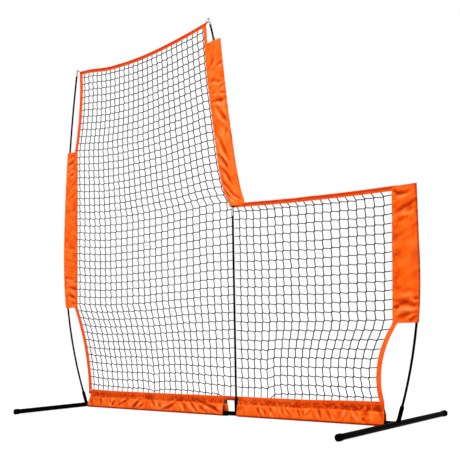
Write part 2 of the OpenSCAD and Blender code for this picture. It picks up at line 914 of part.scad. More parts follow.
// Flat tape between two edges, given as equal lists of [x, z]
module tape(edge_a, edge_b) {
  rings = [
    for (i = [0:len(edge_a) - 1])
      let (
        a = edge_a[i],
        b = edge_b[i],
        half = binding_t / 2
      )
      each [
        [a[0], pushed(a[0], a[1]) - half, a[1]],
        [b[0], pushed(b[0], b[1]) - half, b[1]],
        [b[0], pushed(b[0], b[1]) + half, b[1]],
        [a[0], pushed(a[0], a[1]) + half, a[1]]
      ]
  ];
  color(nylon) at_tee() polyhedron(rings, skin_faces(4, len(edge_a)));
}

// Heights of the net rows along each upright edge
tall_left_z = [for (j = [0:tall_rows]) tall_place(0, j / tall_rows)[1]];
tall_right_z = [for (j = [0:tall_rows]) tall_place(1, j / tall_rows)[1]];
low_right_z = [for (j = [0:low_rows]) low_place(1, j / low_rows)[1]];

// Height of the top binding's lower edge, less the clearance
function under_top(x) = top_edge(x) - binding_w - soft_gap;
function all_but_last(list) = [for (i = [0:len(list) - 2]) list[i]];

module left_binding() {
  zs = all_but_last(tall_left_z);
  tape(
    concat(
      [for (z = zs) [left_edge(z) - binding_w, z]],
      [[left_corner[0], under_top(left_corner[0])]]
    ),
    concat(
      [for (z = zs) [left_edge(z), z]],
      [[left_edge(under_top(-left_top_x)), under_top(-left_top_x)]]
    )
  );
}

module right_binding() {
  tape(
    [for (z = low_right_z) [right_edge(z), z]],
    [for (z = low_right_z) [right_edge(z) + binding_w, z]]
  );
}

module centre_binding() {
  zs = concat(
    [notch_z + soft_gap],
    [for (z = all_but_last(tall_right_z)) if (z > notch_z + binding_w) z]
  );
  tape(
    concat(
      [for (z = zs) [centre_edge(z), z]],
      [[centre_edge(under_top(centre_top_x)), under_top(centre_top_x)]]
    ),
    concat(
      [for (z = zs) [centre_edge(z) + binding_w, z]],
      [[centre_corner[0], under_top(centre_corner[0])]]
    )
  );
}

module top_binding() {
  xs = concat(
    [left_corner[0]],
    [for (i = [0:tall_columns]) tall_top_x(i / tall_columns)],
    [centre_corner[0]]
  );
  tape(
    [for (x = xs) [x, top_edge(x) - binding_w]],
    [for (x = xs) [x, top_edge(x)]]
  );
}

module low_top_binding() {
  stations = low_columns;
  from = notch_x + binding_w;
  xs = [for (i = [0:stations]) from + (right_high_x + binding_w - from) * i / stations];
  tape(
    [for (x = xs) [x, low_top_edge(x) - binding_w]],
    [for (x = xs) [x, low_top_edge(x)]]
  );
}

bottom_from = -left_bottom_x - binding_w + eps;
bottom_to = right_bottom_x;

module bottom_binding() {
  half = 8;
  xs = concat(
    [for (i = [0:half]) bottom_from * (1 - i / half)],
    [for (i = [1:half]) bottom_to * i / half]
  );
  tape(
    [for (x = xs) [x, net_bottom - binding_w]],
    [for (x = xs) [x, net_bottom]]
  );
}

// ---- Sleeves ----

// Ring of a flattened fabric tube round a pole. x0 is the pole, the tube runs
// from x0 - low to x0 + high, and its edges lie in front of the net.
edge_t = 1;
bulge_k = 0.8;
bulge_share = 0.92;
sleeve_gap = 1;
channel_half_step = 23;
function channel(held_r) = (held_r + sleeve_gap) / cos(channel_half_step);
flange_back = binding_t / 2 + soft_gap + edge_t;

function sleeve_ring(x0, z, low, high, room) =
  let (
    b = (room + fabric_t) / bulge_k * bulge_share,
    k = bulge_k,
    in_hi = min(2 * b, (high + k * b) / 2),
    in_lo = min(2 * b, (low + k * b) / 2),
    y_hi = edge_t + (k * b - edge_t) * max(0, 1 - in_hi / (2 * b)),
    y_lo = edge_t + (k * b - edge_t) * max(0, 1 - in_lo / (2 * b)),
    flat = [
      [high, 0], [in_hi, y_hi], [k * b, k * b], [0, b], [-k * b, k * b], [-in_lo, y_lo],
      [-low, 0], [-in_lo, -y_lo], [-k * b, -k * b], [0, -b], [k * b, -k * b], [in_hi, -y_hi]
    ]
  )
  [
    for (p = flat)
      let (
        reach = p[0] > 0 ? p[0] / high : -p[0] / low,
        shift = (pushed(x0 + p[0], z) - flange_back) * reach
      )
      [p[0], p[1] + shift]
  ];

// Hollow sleeve with a channel of radius room round its pole. Each station is
// [x0, z, low, high, slope], bottom to top.
function sleeve_points(stations, room) =
  let (
    rings = [for (s = stations) sleeve_ring(s[0], s[1], s[2], s[3], room)],
    n = len(stations)
  )
  concat(
    [
      for (i = [0:n - 1], p = rings[i])
        [stations[i][0] + p[0], p[1], stations[i][1] + stations[i][4] * p[0]]
    ],
    [
      for (j = [0:n - 1])
        let (i = n - 1 - j)
        for (p = rings[i])
          let (q = room * p / norm(p))
          [stations[i][0] + q[0], q[1], stations[i][1] + stations[i][4] * q[0]]
    ]
  );

module sleeve(stations, room) {
  color(nylon)
    at_tee()
    polyhedron(sleeve_points(stations, room), loop_faces(12, 2 * len(stations)));
}

// The tall side's sleeve: its outer edge hugs the pole, and its channel
// clears the joint's ferrule
module left_sleeve() {
  steps = 10;
  stations = [
    for (i = [0:steps - 1])
      let (
        z = left_sleeve_low + (left_sleeve_high - left_sleeve_low) * i / (steps - 1),
        x0 = -left_pole_x(z)
      )
      [x0, z, sleeve_out, left_edge(z) - x0, 0]
  ];
  sleeve(stations, channel(ferrule_r));
}

// The centre sleeve flares over the notch and narrows to the top
module centre_sleeve() {
  out_low = 74;
  out_high = 43;
  out_scoop = -44;
  hem_slope = 0.1;
  steps = 9;
  stations = [
    for (i = [0:steps - 1])
      let (
        t = i / (steps - 1),
        z = centre_sleeve_low + (centre_sleeve_high - centre_sleeve_low) * t,
        x0 = centre_pole_x(z)
      )
      [x0, z, x0 - centre_edge(z), bowed(out_low, out_high, out_scoop, t), hem_slope * (1 - t)]
  ];
  sleeve(stations, channel(pole_r));
}

right_sleeve_drop = 2;
right_sleeve_top = low_h - right_sleeve_drop;
right_sleeve_roof = 6;

// The low side's sleeve is closed at the top, over the pole's cap
module right_sleeve() {
  steps = 7;
  room = channel(pole_r);
  zs = [
    for (i = [0:steps - 1])
      right_sleeve_low + (right_sleeve_top - right_sleeve_low) * i / (steps - 1)
  ];
  rings = [
    for (z = zs)
      sleeve_ring(right_pole_x(z), z, right_pole_x(z) - right_edge(z), sleeve_out, room)
  ];
  cap_room = 0.6;
  inside = [
    for (j = [0:steps - 1])
      let (
        i = steps - 1 - j,
        z = min(zs[i], right_sleeve_top - right_sleeve_roof),
        wide = i > steps - 3 ? cap_room : 0
      )
      for (p = rings[i])
        let (q = (room + wide) * p / norm(p))
        [right_pole_x(z) + q[0], q[1], z]
  ];
  outside = [for (i = [0:steps - 1], p = rings[i]) [right_pole_x(zs[i]) + p[0], p[1], zs[i]]];
  count = 12;
  walls = [
    for (j = [0:2 * steps - 1])
      if (j != steps - 1) each wall_faces(count, 2 * steps, j)
  ];
  color(nylon)
    at_tee()
    polyhedron(
      concat(outside, inside),
      concat(
        walls,
        flipped(strip_cap(steps * count, count)),
        strip_cap((steps - 1) * count, count)
      )
    );
}

// Rings of a bottom sleeve: it wraps the base tube with a flat underneath and
// rises to a flat edge in front of the bottom binding. Points are [y, z] from
// the tube's axis.
wrap_gap = 0.4;
wrap_off_floor = 0.2;
wrap_in = tube_r + wrap_gap;
wrap_out = axis_h - wrap_off_floor;
belly_half = 7;
belly_share = 0.7;
function wrap_corner(apothem, angle) = apothem / cos(22.5) * [cos(angle), sin(angle)];
function wrap_ring(x, billow, apothem, wall) =
  let (
    top = pushed(x, net_bottom) - flange_back,
    rise = net_bottom - axis_h,
    neck = rise - binding_w - 1,
    belly = neck * belly_share
  )
  [
    wrap_corner(apothem, -67.5),
    wrap_corner(apothem, -22.5),
    wrap_corner(apothem, 22.5),
    [apothem * 0.76 + billow / 3, apothem * 1.05],
    [top / 2 + billow + belly_half - wall, belly - wall],
    [top + edge_t - wall / 2, neck - 4 * wall],
    [top, wall > 0 ? neck - 2 * wall : rise],
    [top - edge_t + wall / 2, neck - 4 * wall],
    [top / 2 + billow - belly_half + wall, belly - wall],
    [-apothem * 0.76 + billow / 3, apothem * 1.05],
    wrap_corner(apothem, 157.5),
    wrap_corner(apothem, 202.5),
    wrap_corner(apothem, 247.5)
  ];

module bottom_sleeve(from, to) {
  steps = 8;
  xs = [for (i = [0:steps - 1]) from + (to - from) * i / (steps - 1)];
  billows = [for (i = [0:steps - 1]) fold_depth * sin(i * 150 + 40)];
  points = concat(
    [
      for (i = [0:steps - 1], p = wrap_ring(xs[i], billows[i], wrap_out, 0))
        [xs[i], p[0], axis_h + p[1]]
    ],
    [
      for (i = [steps - 1:-1:0], p = wrap_ring(xs[i], billows[i], wrap_in, fabric_t))
        [xs[i], p[0], axis_h + p[1]]
    ]
  );
  color(nylon) at_tee() polyhedron(points, loop_faces(13, 2 * steps));
}

module bottom_sleeve_left() {
  over_spigot = foot_bare_left - 9;
  over_tee = 8;
  bottom_sleeve(base_left_outer - over_spigot, base_left_inner + over_tee);
}

module bottom_sleeve_right() {
  from_socket = 2.5;
  over_spigot = 6;
  bottom_sleeve(socket_r + from_socket, base_right_outer + over_spigot);
}

foot_left();
foot_right();
foot_cap_left_front();
foot_cap_left_back();
foot_cap_right_front();
foot_cap_right_back();
base_tube_left();
base_tube_right();
centre_tee();
snap_button_foot_left();
snap_button_tee_left();
snap_button_tee_right();
snap_button_foot_right();
leaf_spring_foot_left();
leaf_spring_tee_left();
leaf_spring_tee_right();
leaf_spring_foot_right();
left_pole_lower();
left_pole_upper();
left_pole_ferrule();
left_pole_tip();
centre_pole_lower();
centre_pole_upper();
centre_pole_ferrule();
centre_pole_collar();
centre_pole_tip();
right_pole();
right_pole_cap();
left_link();
centre_link();
left_corner_loop();
centre_corner_loop();
net_tall();
net_low();
left_binding();
top_binding();
centre_binding();
low_top_binding();
right_binding();
bottom_binding();
left_sleeve();
centre_sleeve();
right_sleeve();
bottom_sleeve_left();
bottom_sleeve_right();
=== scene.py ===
import math
import random

import bmesh
import bpy
from mathutils import Matrix, Vector, noise


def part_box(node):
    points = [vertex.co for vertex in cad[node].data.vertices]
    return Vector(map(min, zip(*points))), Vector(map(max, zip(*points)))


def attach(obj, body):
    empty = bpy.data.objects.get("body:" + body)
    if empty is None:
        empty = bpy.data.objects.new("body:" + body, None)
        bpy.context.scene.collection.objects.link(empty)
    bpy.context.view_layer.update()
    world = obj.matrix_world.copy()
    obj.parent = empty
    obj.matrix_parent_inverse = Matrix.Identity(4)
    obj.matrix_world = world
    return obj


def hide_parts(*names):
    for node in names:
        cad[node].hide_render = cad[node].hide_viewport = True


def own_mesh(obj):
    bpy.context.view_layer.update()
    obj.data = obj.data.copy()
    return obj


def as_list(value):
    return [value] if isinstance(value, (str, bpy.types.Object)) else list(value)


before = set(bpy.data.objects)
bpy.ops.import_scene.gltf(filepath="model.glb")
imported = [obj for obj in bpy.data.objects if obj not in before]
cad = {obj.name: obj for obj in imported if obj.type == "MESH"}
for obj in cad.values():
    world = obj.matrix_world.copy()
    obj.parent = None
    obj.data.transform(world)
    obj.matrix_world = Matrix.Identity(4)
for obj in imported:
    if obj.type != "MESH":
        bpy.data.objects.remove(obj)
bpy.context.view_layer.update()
random.seed(11)
noise.seed_set(11)  # without it the net's wander would follow the clock

# camera

cameraView = {
    "place": (2.593, -3.093, 0.415),
    "turn": 38.37,  # degrees to the left of straight at the net
    "up": 7.93,
    "roll": -1.05,
    "lens": 58.8,
}
bpy.ops.object.select_all(action="DESELECT")
bpy.ops.object.camera_add(location=cameraView["place"])
camera = bpy.context.object
camera.rotation_euler = (
    Matrix.Rotation(math.radians(cameraView["turn"]), 3, "Z")
    @ Matrix.Rotation(math.radians(90 + cameraView["up"]), 3, "X")
    @ Matrix.Rotation(math.radians(cameraView["roll"]), 3, "Z")
).to_euler()
camera.data.lens = cameraView["lens"]
bpy.context.scene.camera = camera
print("camera placed")

# small sums


def bowed(a, b, bow, t):
    return a + (b - a) * t + 4 * bow * t * (1 - t)


def clamp(value, low=0.0, high=1.0):
    return max(low, min(high, value))


def smooth(value):
    t = clamp(value)
    return t * t * (3 - 2 * t)


def bell(distance, width):
    return math.exp(-((distance / width) ** 2))


def noiseAt(x, y, z):
    return noise.noise(Vector((x, y, z)))


def roundOff(inward, radius):  # how far a round edge has opened, from 0 to 1
    return math.sqrt(max(0, 1 - (max(0, radius - inward) / radius) ** 2))


# outline of the screen, in metres from the centre tee

outline = {
    "teeX": 0.164053,
    "axisHeight": 0.0145,
    "tubeRadius": 0.0127,
    "tapeWidth": 0.022,
    "netBottom": 0.1,
    "leftCorner": (-1.24267, 2.12665),
    "centreCorner": (-0.16319, 2.15379),
    "notch": (-0.030, 1.110),
    "lowCorner": (0.92507, 1.072),
    # height and reach of the net's edge where it changes course, and the bows between
    "leftEdge": ((0.1, 1.108), (0.600, 1.24777), (1.598, 1.26104), (2.12665, 1.22067)),
    "leftBows": (-0.029, 0, -0.020),
    "rightEdge": ((0.1, 0.817), (0.452, 0.897169), (1.072, 0.92507)),
    "rightBows": (-0.044, 0),
    "centreBow": -0.028,
    "topBow": -0.049,
    "lowTopBow": -0.008,
    "notchSlack": 0.018,  # the cloth hangs to the left above the notch
    "netPush": 0.0115,  # how far the centre pole holds the net back
}
poles = {
    "leftReach": 1.36117,  # at the height where the bow is widest
    "leftHeight": 0.93,
    "leftRadii": (2.07565, 7.94461),  # of the bow below and above that height
    "rightReach": 1.03307,
    "rightHeight": 0.772,
    "rightRadius": 2.15418,
    "centreHeight": 1.09,  # the centre pole is straight up to here
    "centreRadius": 4.18509,
    "cloth": 0.012,  # from the middle of a pole to the sleeve's outer fold
}


def reachAt(points, bows, z):
    for (low, a), (high, b), bow in zip(points, points[1:], bows):
        if z < high:
            break
    return bowed(a, b, bow, (z - low) / (high - low))


def leftEdge(z):  # where the tall side's tape meets the net
    return -reachAt(outline["leftEdge"], outline["leftBows"], z)


def rightEdge(z):
    return reachAt(outline["rightEdge"], outline["rightBows"], z)


def slackNear(z):
    return bell(z - 1.25, 0.22) * smooth((z - 1.10) / 0.07)


def centreEdge(z):
    (x0, z0), (x1, z1) = outline["notch"], (-0.18519, outline["centreCorner"][1])
    hung = outline["notchSlack"] * slackNear(z)
    return bowed(x0, x1, outline["centreBow"], (z - z0) / (z1 - z0)) - hung


def topEdge(x):
    (x0, z0), (x1, z1) = outline["leftCorner"], outline["centreCorner"]
    rise = 0.009 * bell(x + 1.14, 0.10) + 0.009 * smooth((x + 0.80) / 0.5)
    return bowed(z0, z1, outline["topBow"], (x - x0) / (x1 - x0)) + rise


def lowTopEdge(x):
    (x0, z0), (x1, z1) = outline["notch"], outline["lowCorner"]
    return bowed(z0, z1, outline["lowTopBow"], (x - x0) / (x1 - x0))


def pushed(x, z):
    return outline["netPush"] * max(0, 1 - abs(x) / 0.6) ** 2 * clamp((1.9 - z) / 0.78)


def arcInset(rise, radius):
    return radius * (1 - math.sqrt(1 - (rise / radius) ** 2))


def leftPole(z):
    rise = z - poles["leftHeight"]
    return -(poles["leftReach"] - arcInset(rise, poles["leftRadii"][0 if rise < 0 else 1]))


def rightPole(z):
    return poles["rightReach"] - arcInset(max(0, poles["rightHeight"] - z), poles["rightRadius"])


def centrePole(z):
    return -arcInset(max(0, z - poles["centreHeight"]), poles["centreRadius"])


def leftOuter(z):  # outer folds of the sleeves
    return leftPole(z) - poles["cloth"]


def rightOuter(z):  # drawn tight over the middle of the pole's bow
    return rightPole(z) + poles["cloth"] - 0.0035 * smooth(1 - abs(z - 0.74) / 0.28)


def centreOuter(z):
    width = bowed(0.074, 0.043, -0.040, clamp((z - 1.112) / 0.928))
    return centrePole(z) + width - 0.008 * slackNear(z) + 0.006 * smooth((z - 1.6) / 0.3)


# making and finishing pieces


def deselectAll():
    if bpy.context.object and bpy.context.object.mode != "OBJECT":
        bpy.ops.object.mode_set(mode="OBJECT")
    bpy.ops.object.select_all(action="DESELECT")


def selectOnly(thing):
    deselectAll()
    thing.select_set(True)
    bpy.context.view_layer.objects.active = thing


def shiftToTee(thing):  # from the tee's middle to the screen's middle
    thing.data.transform(Matrix.Translation((outline["teeX"], 0, 0)))


def finishPiece(thing, name, finish, replaced=()):
    thing.data.materials.clear()
    thing.data.materials.append(finishes[finish])
    thing.name = name
    thing.data.name = name
    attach(thing, "frame")
    if replaced:
        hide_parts(*replaced)


def smoothShade(thing, angle=60):
    selectOnly(thing)
    bpy.ops.object.shade_smooth_by_angle(angle=math.radians(angle))


# a grid whose point (u, v) gets the place and the painted shade that the rule gives it,
# kept in the fold layer when painted; its UV map is in metres
def shapedGrid(name, across, along, place, size, painted=True):
    deselectAll()
    bpy.ops.mesh.primitive_grid_add(x_subdivisions=across, y_subdivisions=along, size=1)
    grid = bpy.context.object
    grid.name = name
    mesh = grid.data
    shares = [(vertex.co.x + 0.5, vertex.co.y + 0.5) for vertex in mesh.vertices]
    levels = []
    for vertex, (u, v) in zip(mesh.vertices, shares):
        vertex.co, shade = place(u, v)
        levels.append(clamp(0.5 + 0.5 * shade))
    if painted:
        # the fold layer: 0 for the brightest painted highlight, 1 for the deepest painted shade
        folds = mesh.color_attributes.new("fold", "FLOAT_COLOR", "POINT")
        for fold, level in zip(folds.data, levels):
            fold.color = (level, level, level, 1)
    for loop, corner in zip(mesh.loops, mesh.uv_layers.active.data):
        u, v = shares[loop.vertex_index]
        corner.uv = (u * size[0], v * size[1])
    return grid


def outwards(cloth, merge=0.0, closing=None):  # join edges that meet, turn all faces one way
    selectOnly(cloth)
    bpy.ops.object.mode_set(mode="EDIT")
    bpy.ops.mesh.select_all(action="SELECT")
    if merge:
        bpy.ops.mesh.remove_doubles(threshold=merge)
    if closing:
        closing(cloth)
    bpy.ops.mesh.select_all(action="SELECT")
    bpy.ops.mesh.normals_make_consistent(inside=False)
    bpy.ops.object.mode_set(mode="OBJECT")


def thicken(cloth, ply, angle=60):
    selectOnly(cloth)
    bpy.ops.object.modifier_add(type="SOLIDIFY")
    shell = cloth.modifiers[-1]
    shell.thickness = ply
    shell.offset = -1.0
    shell.use_even_offset = False
    bpy.ops.object.modifier_apply(modifier=shell.name)
    smoothShade(cloth, angle)


# materials


def newMaterial(name, colour, **values):
    material = bpy.data.materials.new(name)
    material.use_nodes = True
    tree = material.node_tree
    shader = tree.nodes["Principled BSDF"]
    shader.inputs["Base Color"].default_value = (*colour, 1)
    for key, value in values.items():
        shader.inputs[key].default_value = value
    material.diffuse_color = (*colour, 1)
    return material, tree, shader


def addNode(tree, kind, inputs=None, **values):
    node = tree.nodes.new("ShaderNode" + kind)
    for key, value in values.items():
        setattr(node, key, value)
    for key, value in (inputs or {}).items():
        if isinstance(value, bpy.types.NodeSocket):
            tree.links.new(value, node.inputs[key])
        else:
            node.inputs[key].default_value = value
    return node


def coordinates(tree, kind="Object"):
    return addNode(tree, "TexCoord").outputs[kind]


def noisePattern(tree, place, scale, detail, **more):
    inputs = {"Vector": place, "Scale": scale, "Detail": detail, **more}
    return addNode(tree, "TexNoise", inputs).outputs["Fac"]


def ramp(tree, source, stops):  # a stop's colour is three numbers, or one for a grey
    node = addNode(tree, "ValToRGB", {"Fac": source})
    for index, (position, colour) in enumerate(stops):
        marks = node.color_ramp.elements
        mark = marks[index] if index < 2 else marks.new(position)
        mark.position = position
        mark.color = (*colour, 1) if isinstance(colour, tuple) else (colour, colour, colour, 1)
    return node.outputs["Color"]


def mixed(tree, factor, first, second):
    sockets = {0: factor, 6: first, 7: second}
    return addNode(tree, "Mix", sockets, data_type="RGBA").outputs[2]


def addBump(tree, shader, height, strength, distance, **under):
    inputs = {"Height": height, "Strength": strength, "Distance": distance, **under}
    normal = addNode(tree, "Bump", inputs).outputs["Normal"]
    tree.links.new(normal, shader.inputs["Normal"])
    return normal


# metals, rubber and threads; the grain, or else the tint's own pattern, makes the bump
speckled = {
    "steel": {
        "name": "blackPowderCoat", "tint": (14.0, 6.0), "grain": (900, 2.0), "bump": (0.25, 0.0003),
        "stops": ((0.55, (0.0008, 0.0008, 0.0009)), (0.80, (0.0032, 0.0031, 0.003))),
        "gloss": ((0.3, 0.34), (0.75, 0.52)),
        "shader": {"Roughness": 0.42, "IOR": 1.15, "Specular IOR Level": 0.05},
    },
    "fibreglass": {
        "name": "blackFibreglass", "tint": (1.0, 3.0), "bump": (0.15, 0.0002),
        "stops": ((0.45, (0.0008, 0.0008, 0.0009)), (0.8, (0.0028, 0.0028, 0.0030))),
        "gloss": ((0.3, 0.24), (0.8, 0.42)),
        "tintScale": (900, 900, 12),
        "shader": {"Roughness": 0.28, "IOR": 1.15, "Specular IOR Level": 0.05},
    },
    "rubber": {
        "name": "blackRubber", "tint": (55.0, 8.0), "grain": (1500.0, 2.0), "bump": (0.2, 0.0002),
        "stops": ((0.5, (0.0010, 0.0010, 0.0010)), (0.85, (0.0050, 0.0048, 0.0044))),
        "tintMore": {"Roughness": 0.7},
        "shader": {"Roughness": 0.6, "IOR": 1.12, "Specular IOR Level": 0.05},
    },
    "aluminium": {
        "name": "turnedAluminium", "tint": (120.0, 5.0), "grain": (1.0, 4.0), "bump": (0.3, 0.0001),
        "stops": ((0.35, (0.42, 0.42, 0.41)), (0.8, (0.20, 0.20, 0.197))),
        "gloss": ((0.3, 0.27), (0.75, 0.48)), "glossFrom": "grain", "grainScale": (40, 40, 2600),
        "shader": {"Roughness": 0.34, "Metallic": 1.0},
    },
    "darkSteel": {
        "name": "darkSteel", "tint": (260.0, 6.0), "grain": (2200.0, 2.0), "bump": (0.15, 0.0001),
        "stops": ((0.45, (0.060, 0.064, 0.064)), (0.85, (0.020, 0.021, 0.021))),
        "shader": {"Roughness": 0.35, "Metallic": 1.0},
    },
    "wire": {
        "name": "zincWire", "tint": (260.0, 6.0), "grain": (2200.0, 2.0), "bump": (0.15, 0.0001),
        "stops": ((0.45, (0.30, 0.30, 0.295)), (0.85, (0.12, 0.115, 0.105))),
        "shader": {"Roughness": 0.3, "Metallic": 1.0},
    },
    "spring": {
        "name": "springSteel", "tint": (260.0, 6.0), "grain": (2200.0, 2.0), "bump": (0.15, 0.0001),
        "stops": ((0.45, (0.30, 0.30, 0.31)), (0.85, (0.12, 0.11, 0.10))),
        "shader": {"Roughness": 0.38, "Metallic": 1.0},
    },
    "twine": {
        "name": "blackTwine", "tint": (1500, 3.0), "bump": (0.5, 0.0004),
        "stops": ((0.4, (0.0010, 0.0010, 0.0011)), (0.8, (0.0040, 0.0040, 0.0043))),
        "shader": {"Roughness": 0.7, "Specular IOR Level": 0.0},
    },
    "thread": {
        "name": "orangeThread", "tint": (3000.0, 2.0), "bump": (0.4, 0.0002),
        "colour": (0.74, 0.050, 0.003),
        "stops": ((0.4, (0.80, 0.060, 0.003)), (0.8, (0.55, 0.030, 0.001))),
        "shader": {"Roughness": 0.6},
    },
}


def speckledMaterial(look):
    colour = look.get("colour", look["stops"][0][1])
    material, tree, shader = newMaterial(look["name"], colour, **look["shader"])
    place = coordinates(tree)
    patterns = {}
    for part in ("tint", "grain"):
        if part not in look:
            patterns[part] = patterns["tint"]
            continue
        spot = place
        if part + "Scale" in look:
            stretch = {"Vector": place, "Scale": look[part + "Scale"]}
            spot = addNode(tree, "Mapping", stretch).outputs["Vector"]
        patterns[part] = noisePattern(tree, spot, *look[part], **look.get(part + "More", {}))
    tree.links.new(ramp(tree, patterns["tint"], look["stops"]), shader.inputs["Base Color"])
    if "gloss" in look:
        source = patterns[look.get("glossFrom", "tint")]
        tree.links.new(ramp(tree, source, look["gloss"]), shader.inputs["Roughness"])
    addBump(tree, shader, patterns["grain"], *look["bump"])
    return material


# nylon colours: the fold layer's painted shade runs from the ridge's painted highlight through the
# pale colour, which also tints random pale patches, to the dull and shaded painted shade of the
# creases; dull also tints random darker mottling
nylon = {
    "colour": (0.96, 0.130, 0.006),
    "fadedAndHighlight": (1.0, 0.180, 0.022),
    "ridge": (1.0, 0.300, 0.085),
    "dull": (0.78, 0.066, 0.001),
    "shaded": (0.34, 0.018, 0.0005),
    "threads": 2400,  # a metre
}


# woven nylon; the weave follows the UV map
def nylonMaterial():
    material, tree, shader = newMaterial("orangeNylon", nylon["colour"], Roughness=0.5)
    uv, place = coordinates(tree, "UV"), coordinates(tree)
    weave = {"Vector": uv, "Scale": nylon["threads"] / 20 * math.pi}
    warp, weft = (
        addNode(tree, "TexWave", weave, bands_direction=way).outputs["Fac"] for way in ("X", "Y")
    )
    cloth = addNode(tree, "Math", {0: warp, 1: weft}, operation="MAXIMUM").outputs["Value"]
    cloud = noisePattern(tree, place, 7.0, 5.0)
    crush = noisePattern(tree, place, 38.0, 7.0, Distortion=0.8)
    fold = addNode(tree, "VertexColor", layer_name="fold").outputs["Color"]
    # the cloth's colour from its painted shade: painted highlights on ridges, painted shade in
    # creases and dents
    paintedShade = ramp(tree, fold, (
        (0.08, nylon["ridge"]), (0.32, nylon["fadedAndHighlight"]), (0.50, nylon["colour"]),
        (0.70, nylon["dull"]), (0.98, nylon["shaded"]),
    ))
    light = ramp(tree, cloud, ((0.45, 0.0), (0.80, 0.30)))
    mottled = ramp(tree, crush, ((0.45, 0.0), (0.85, 0.45)))
    lit = mixed(tree, light, paintedShade, (*nylon["fadedAndHighlight"], 1))
    colour = mixed(tree, mottled, lit, (*nylon["dull"], 1))
    tree.links.new(colour, shader.inputs["Base Color"])
    shader.inputs["Specular IOR Level"].default_value = 0.03
    shader.inputs["Sheen Weight"].default_value = 0.01
    shader.inputs["Sheen Roughness"].default_value = 0.4
    shader.inputs["Sheen Tint"].default_value = (1.0, 0.62, 0.4, 1)
    under = addBump(tree, shader, crush, 0.25, 0.002)
    addBump(tree, shader, cloth, 0.3, 0.00015, Normal=under)
    return material


# tape colours: bright is a painted highlight and edge a painted shade, picked by the fold layer;
# edge also darkens random worn patches
tape = {
    "bright": (1.0, 0.15, 0.012), "colour": (0.92, 0.088, 0.003), "edge": (0.50, 0.026, 0.001),
    "ribs": 620,  # a metre
}


def tapeMaterial():
    material, tree, shader = newMaterial("orangeTape", tape["colour"], Roughness=0.62)
    uv, place = coordinates(tree, "UV"), coordinates(tree)
    ribbed = {"Vector": uv, "Scale": tape["ribs"] * math.pi / 10}
    ribs = addNode(tree, "TexWave", ribbed, bands_direction="Y").outputs["Fac"]
    wear = noisePattern(tree, place, 60.0, 6.0)
    fold = addNode(tree, "VertexColor", layer_name="fold").outputs["Color"]
    # the tape's colour from its painted shade and highlight
    base = ramp(tree, fold, ((0.25, tape["bright"]), (0.50, tape["colour"]), (0.90, tape["edge"])))
    patchy = ramp(tree, wear, ((0.50, 0.0), (0.90, 0.5)))
    colour = mixed(tree, patchy, base, (*tape["edge"], 1))
    tree.links.new(colour, shader.inputs["Base Color"])
    shader.inputs["Specular IOR Level"].default_value = 0.06
    shader.inputs["Sheen Weight"].default_value = 0.02
    shader.inputs["Sheen Tint"].default_value = (1.0, 0.5, 0.3, 1)
    under = addBump(tree, shader, wear, 0.2, 0.0008)
    addBump(tree, shader, ribs, 0.35, 0.0003, Normal=under)
    return material


def hookTapeMaterial():
    material, tree, shader = newMaterial("blackHookTape", (0.014, 0.014, 0.015), Roughness=0.85)
    cells = {"Vector": coordinates(tree), "Scale": 700.0}
    hooks = addNode(tree, "TexVoronoi", cells).outputs["Distance"]
    colour = ramp(tree, hooks, ((0.1, (0.05, 0.05, 0.052)), (0.6, (0.010, 0.010, 0.011))))
    tree.links.new(colour, shader.inputs["Base Color"])
    addBump(tree, shader, hooks, 0.8, 0.0008)
    return material


finishes = {name: speckledMaterial(look) for name, look in speckled.items()}
finishes["nylon"] = nylonMaterial()
finishes["tape"] = tapeMaterial()
finishes["hookTape"] = hookTapeMaterial()
print("materials made")

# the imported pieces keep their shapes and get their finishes

springPlaces = ("foot_left", "tee_left", "tee_right", "foot_right")
frameFinishes = {
    "steel": "foot_left foot_right base_tube_left base_tube_right centre_tee",
    "rubber": "foot_cap_left_front foot_cap_left_back foot_cap_right_front foot_cap_right_back"
    " right_pole_cap",
    "fibreglass": "left_pole_lower left_pole_upper centre_pole_lower centre_pole_upper right_pole",
    "aluminium": "left_pole_ferrule left_pole_tip centre_pole_ferrule centre_pole_tip",
    "darkSteel": "centre_pole_collar",
    "wire": "left_link centre_link",
    "spring": "",
}
for place in springPlaces:
    frameFinishes["wire"] += " snap_button_" + place
    frameFinishes["spring"] += " leaf_spring_" + place
for finish, names in frameFinishes.items():
    for name in names.split():
        cad[name].data.materials.clear()
        cad[name].data.materials.append(finishes[finish])
        for polygon in cad[name].data.polygons:
            polygon.material_index = 0
for place in springPlaces:
    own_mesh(cad["leaf_spring_" + place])
print("frame finished")

# netting

netting = {
    "twineRadius": 0.0023,
    "knotRadius": 0.0033,
    "knotLean": 0.0030,  # half the step between the strands at a knot
    "lowerColumns": 26.6,  # from the tall side's tape to the centre pole
    "upperColumns": 25.8,
    "lowColumns": 19.7,
    "rows": 46,
    "lowRows": 23,
    "slack": 0.0022,
    "pressed": 0.42,  # the twine's ends are squeezed under the tapes
    "underTape": 0.0058,
    "overlap": 0.003,  # how far the ends go past the tapes' edges
}


def rowHeight(top, share):  # between the net's bottom and the top tape
    bottom = outline["netBottom"]
    return bottom + (top - outline["tapeWidth"] - bottom) * share


def tallSpacing(z):
    lower = -leftEdge(z) / netting["lowerColumns"]
    upper = (centreEdge(max(z, 1.11)) - leftEdge(z)) / netting["upperColumns"]
    return lower + (upper - lower) * smooth((z - 1.0) / 0.2)


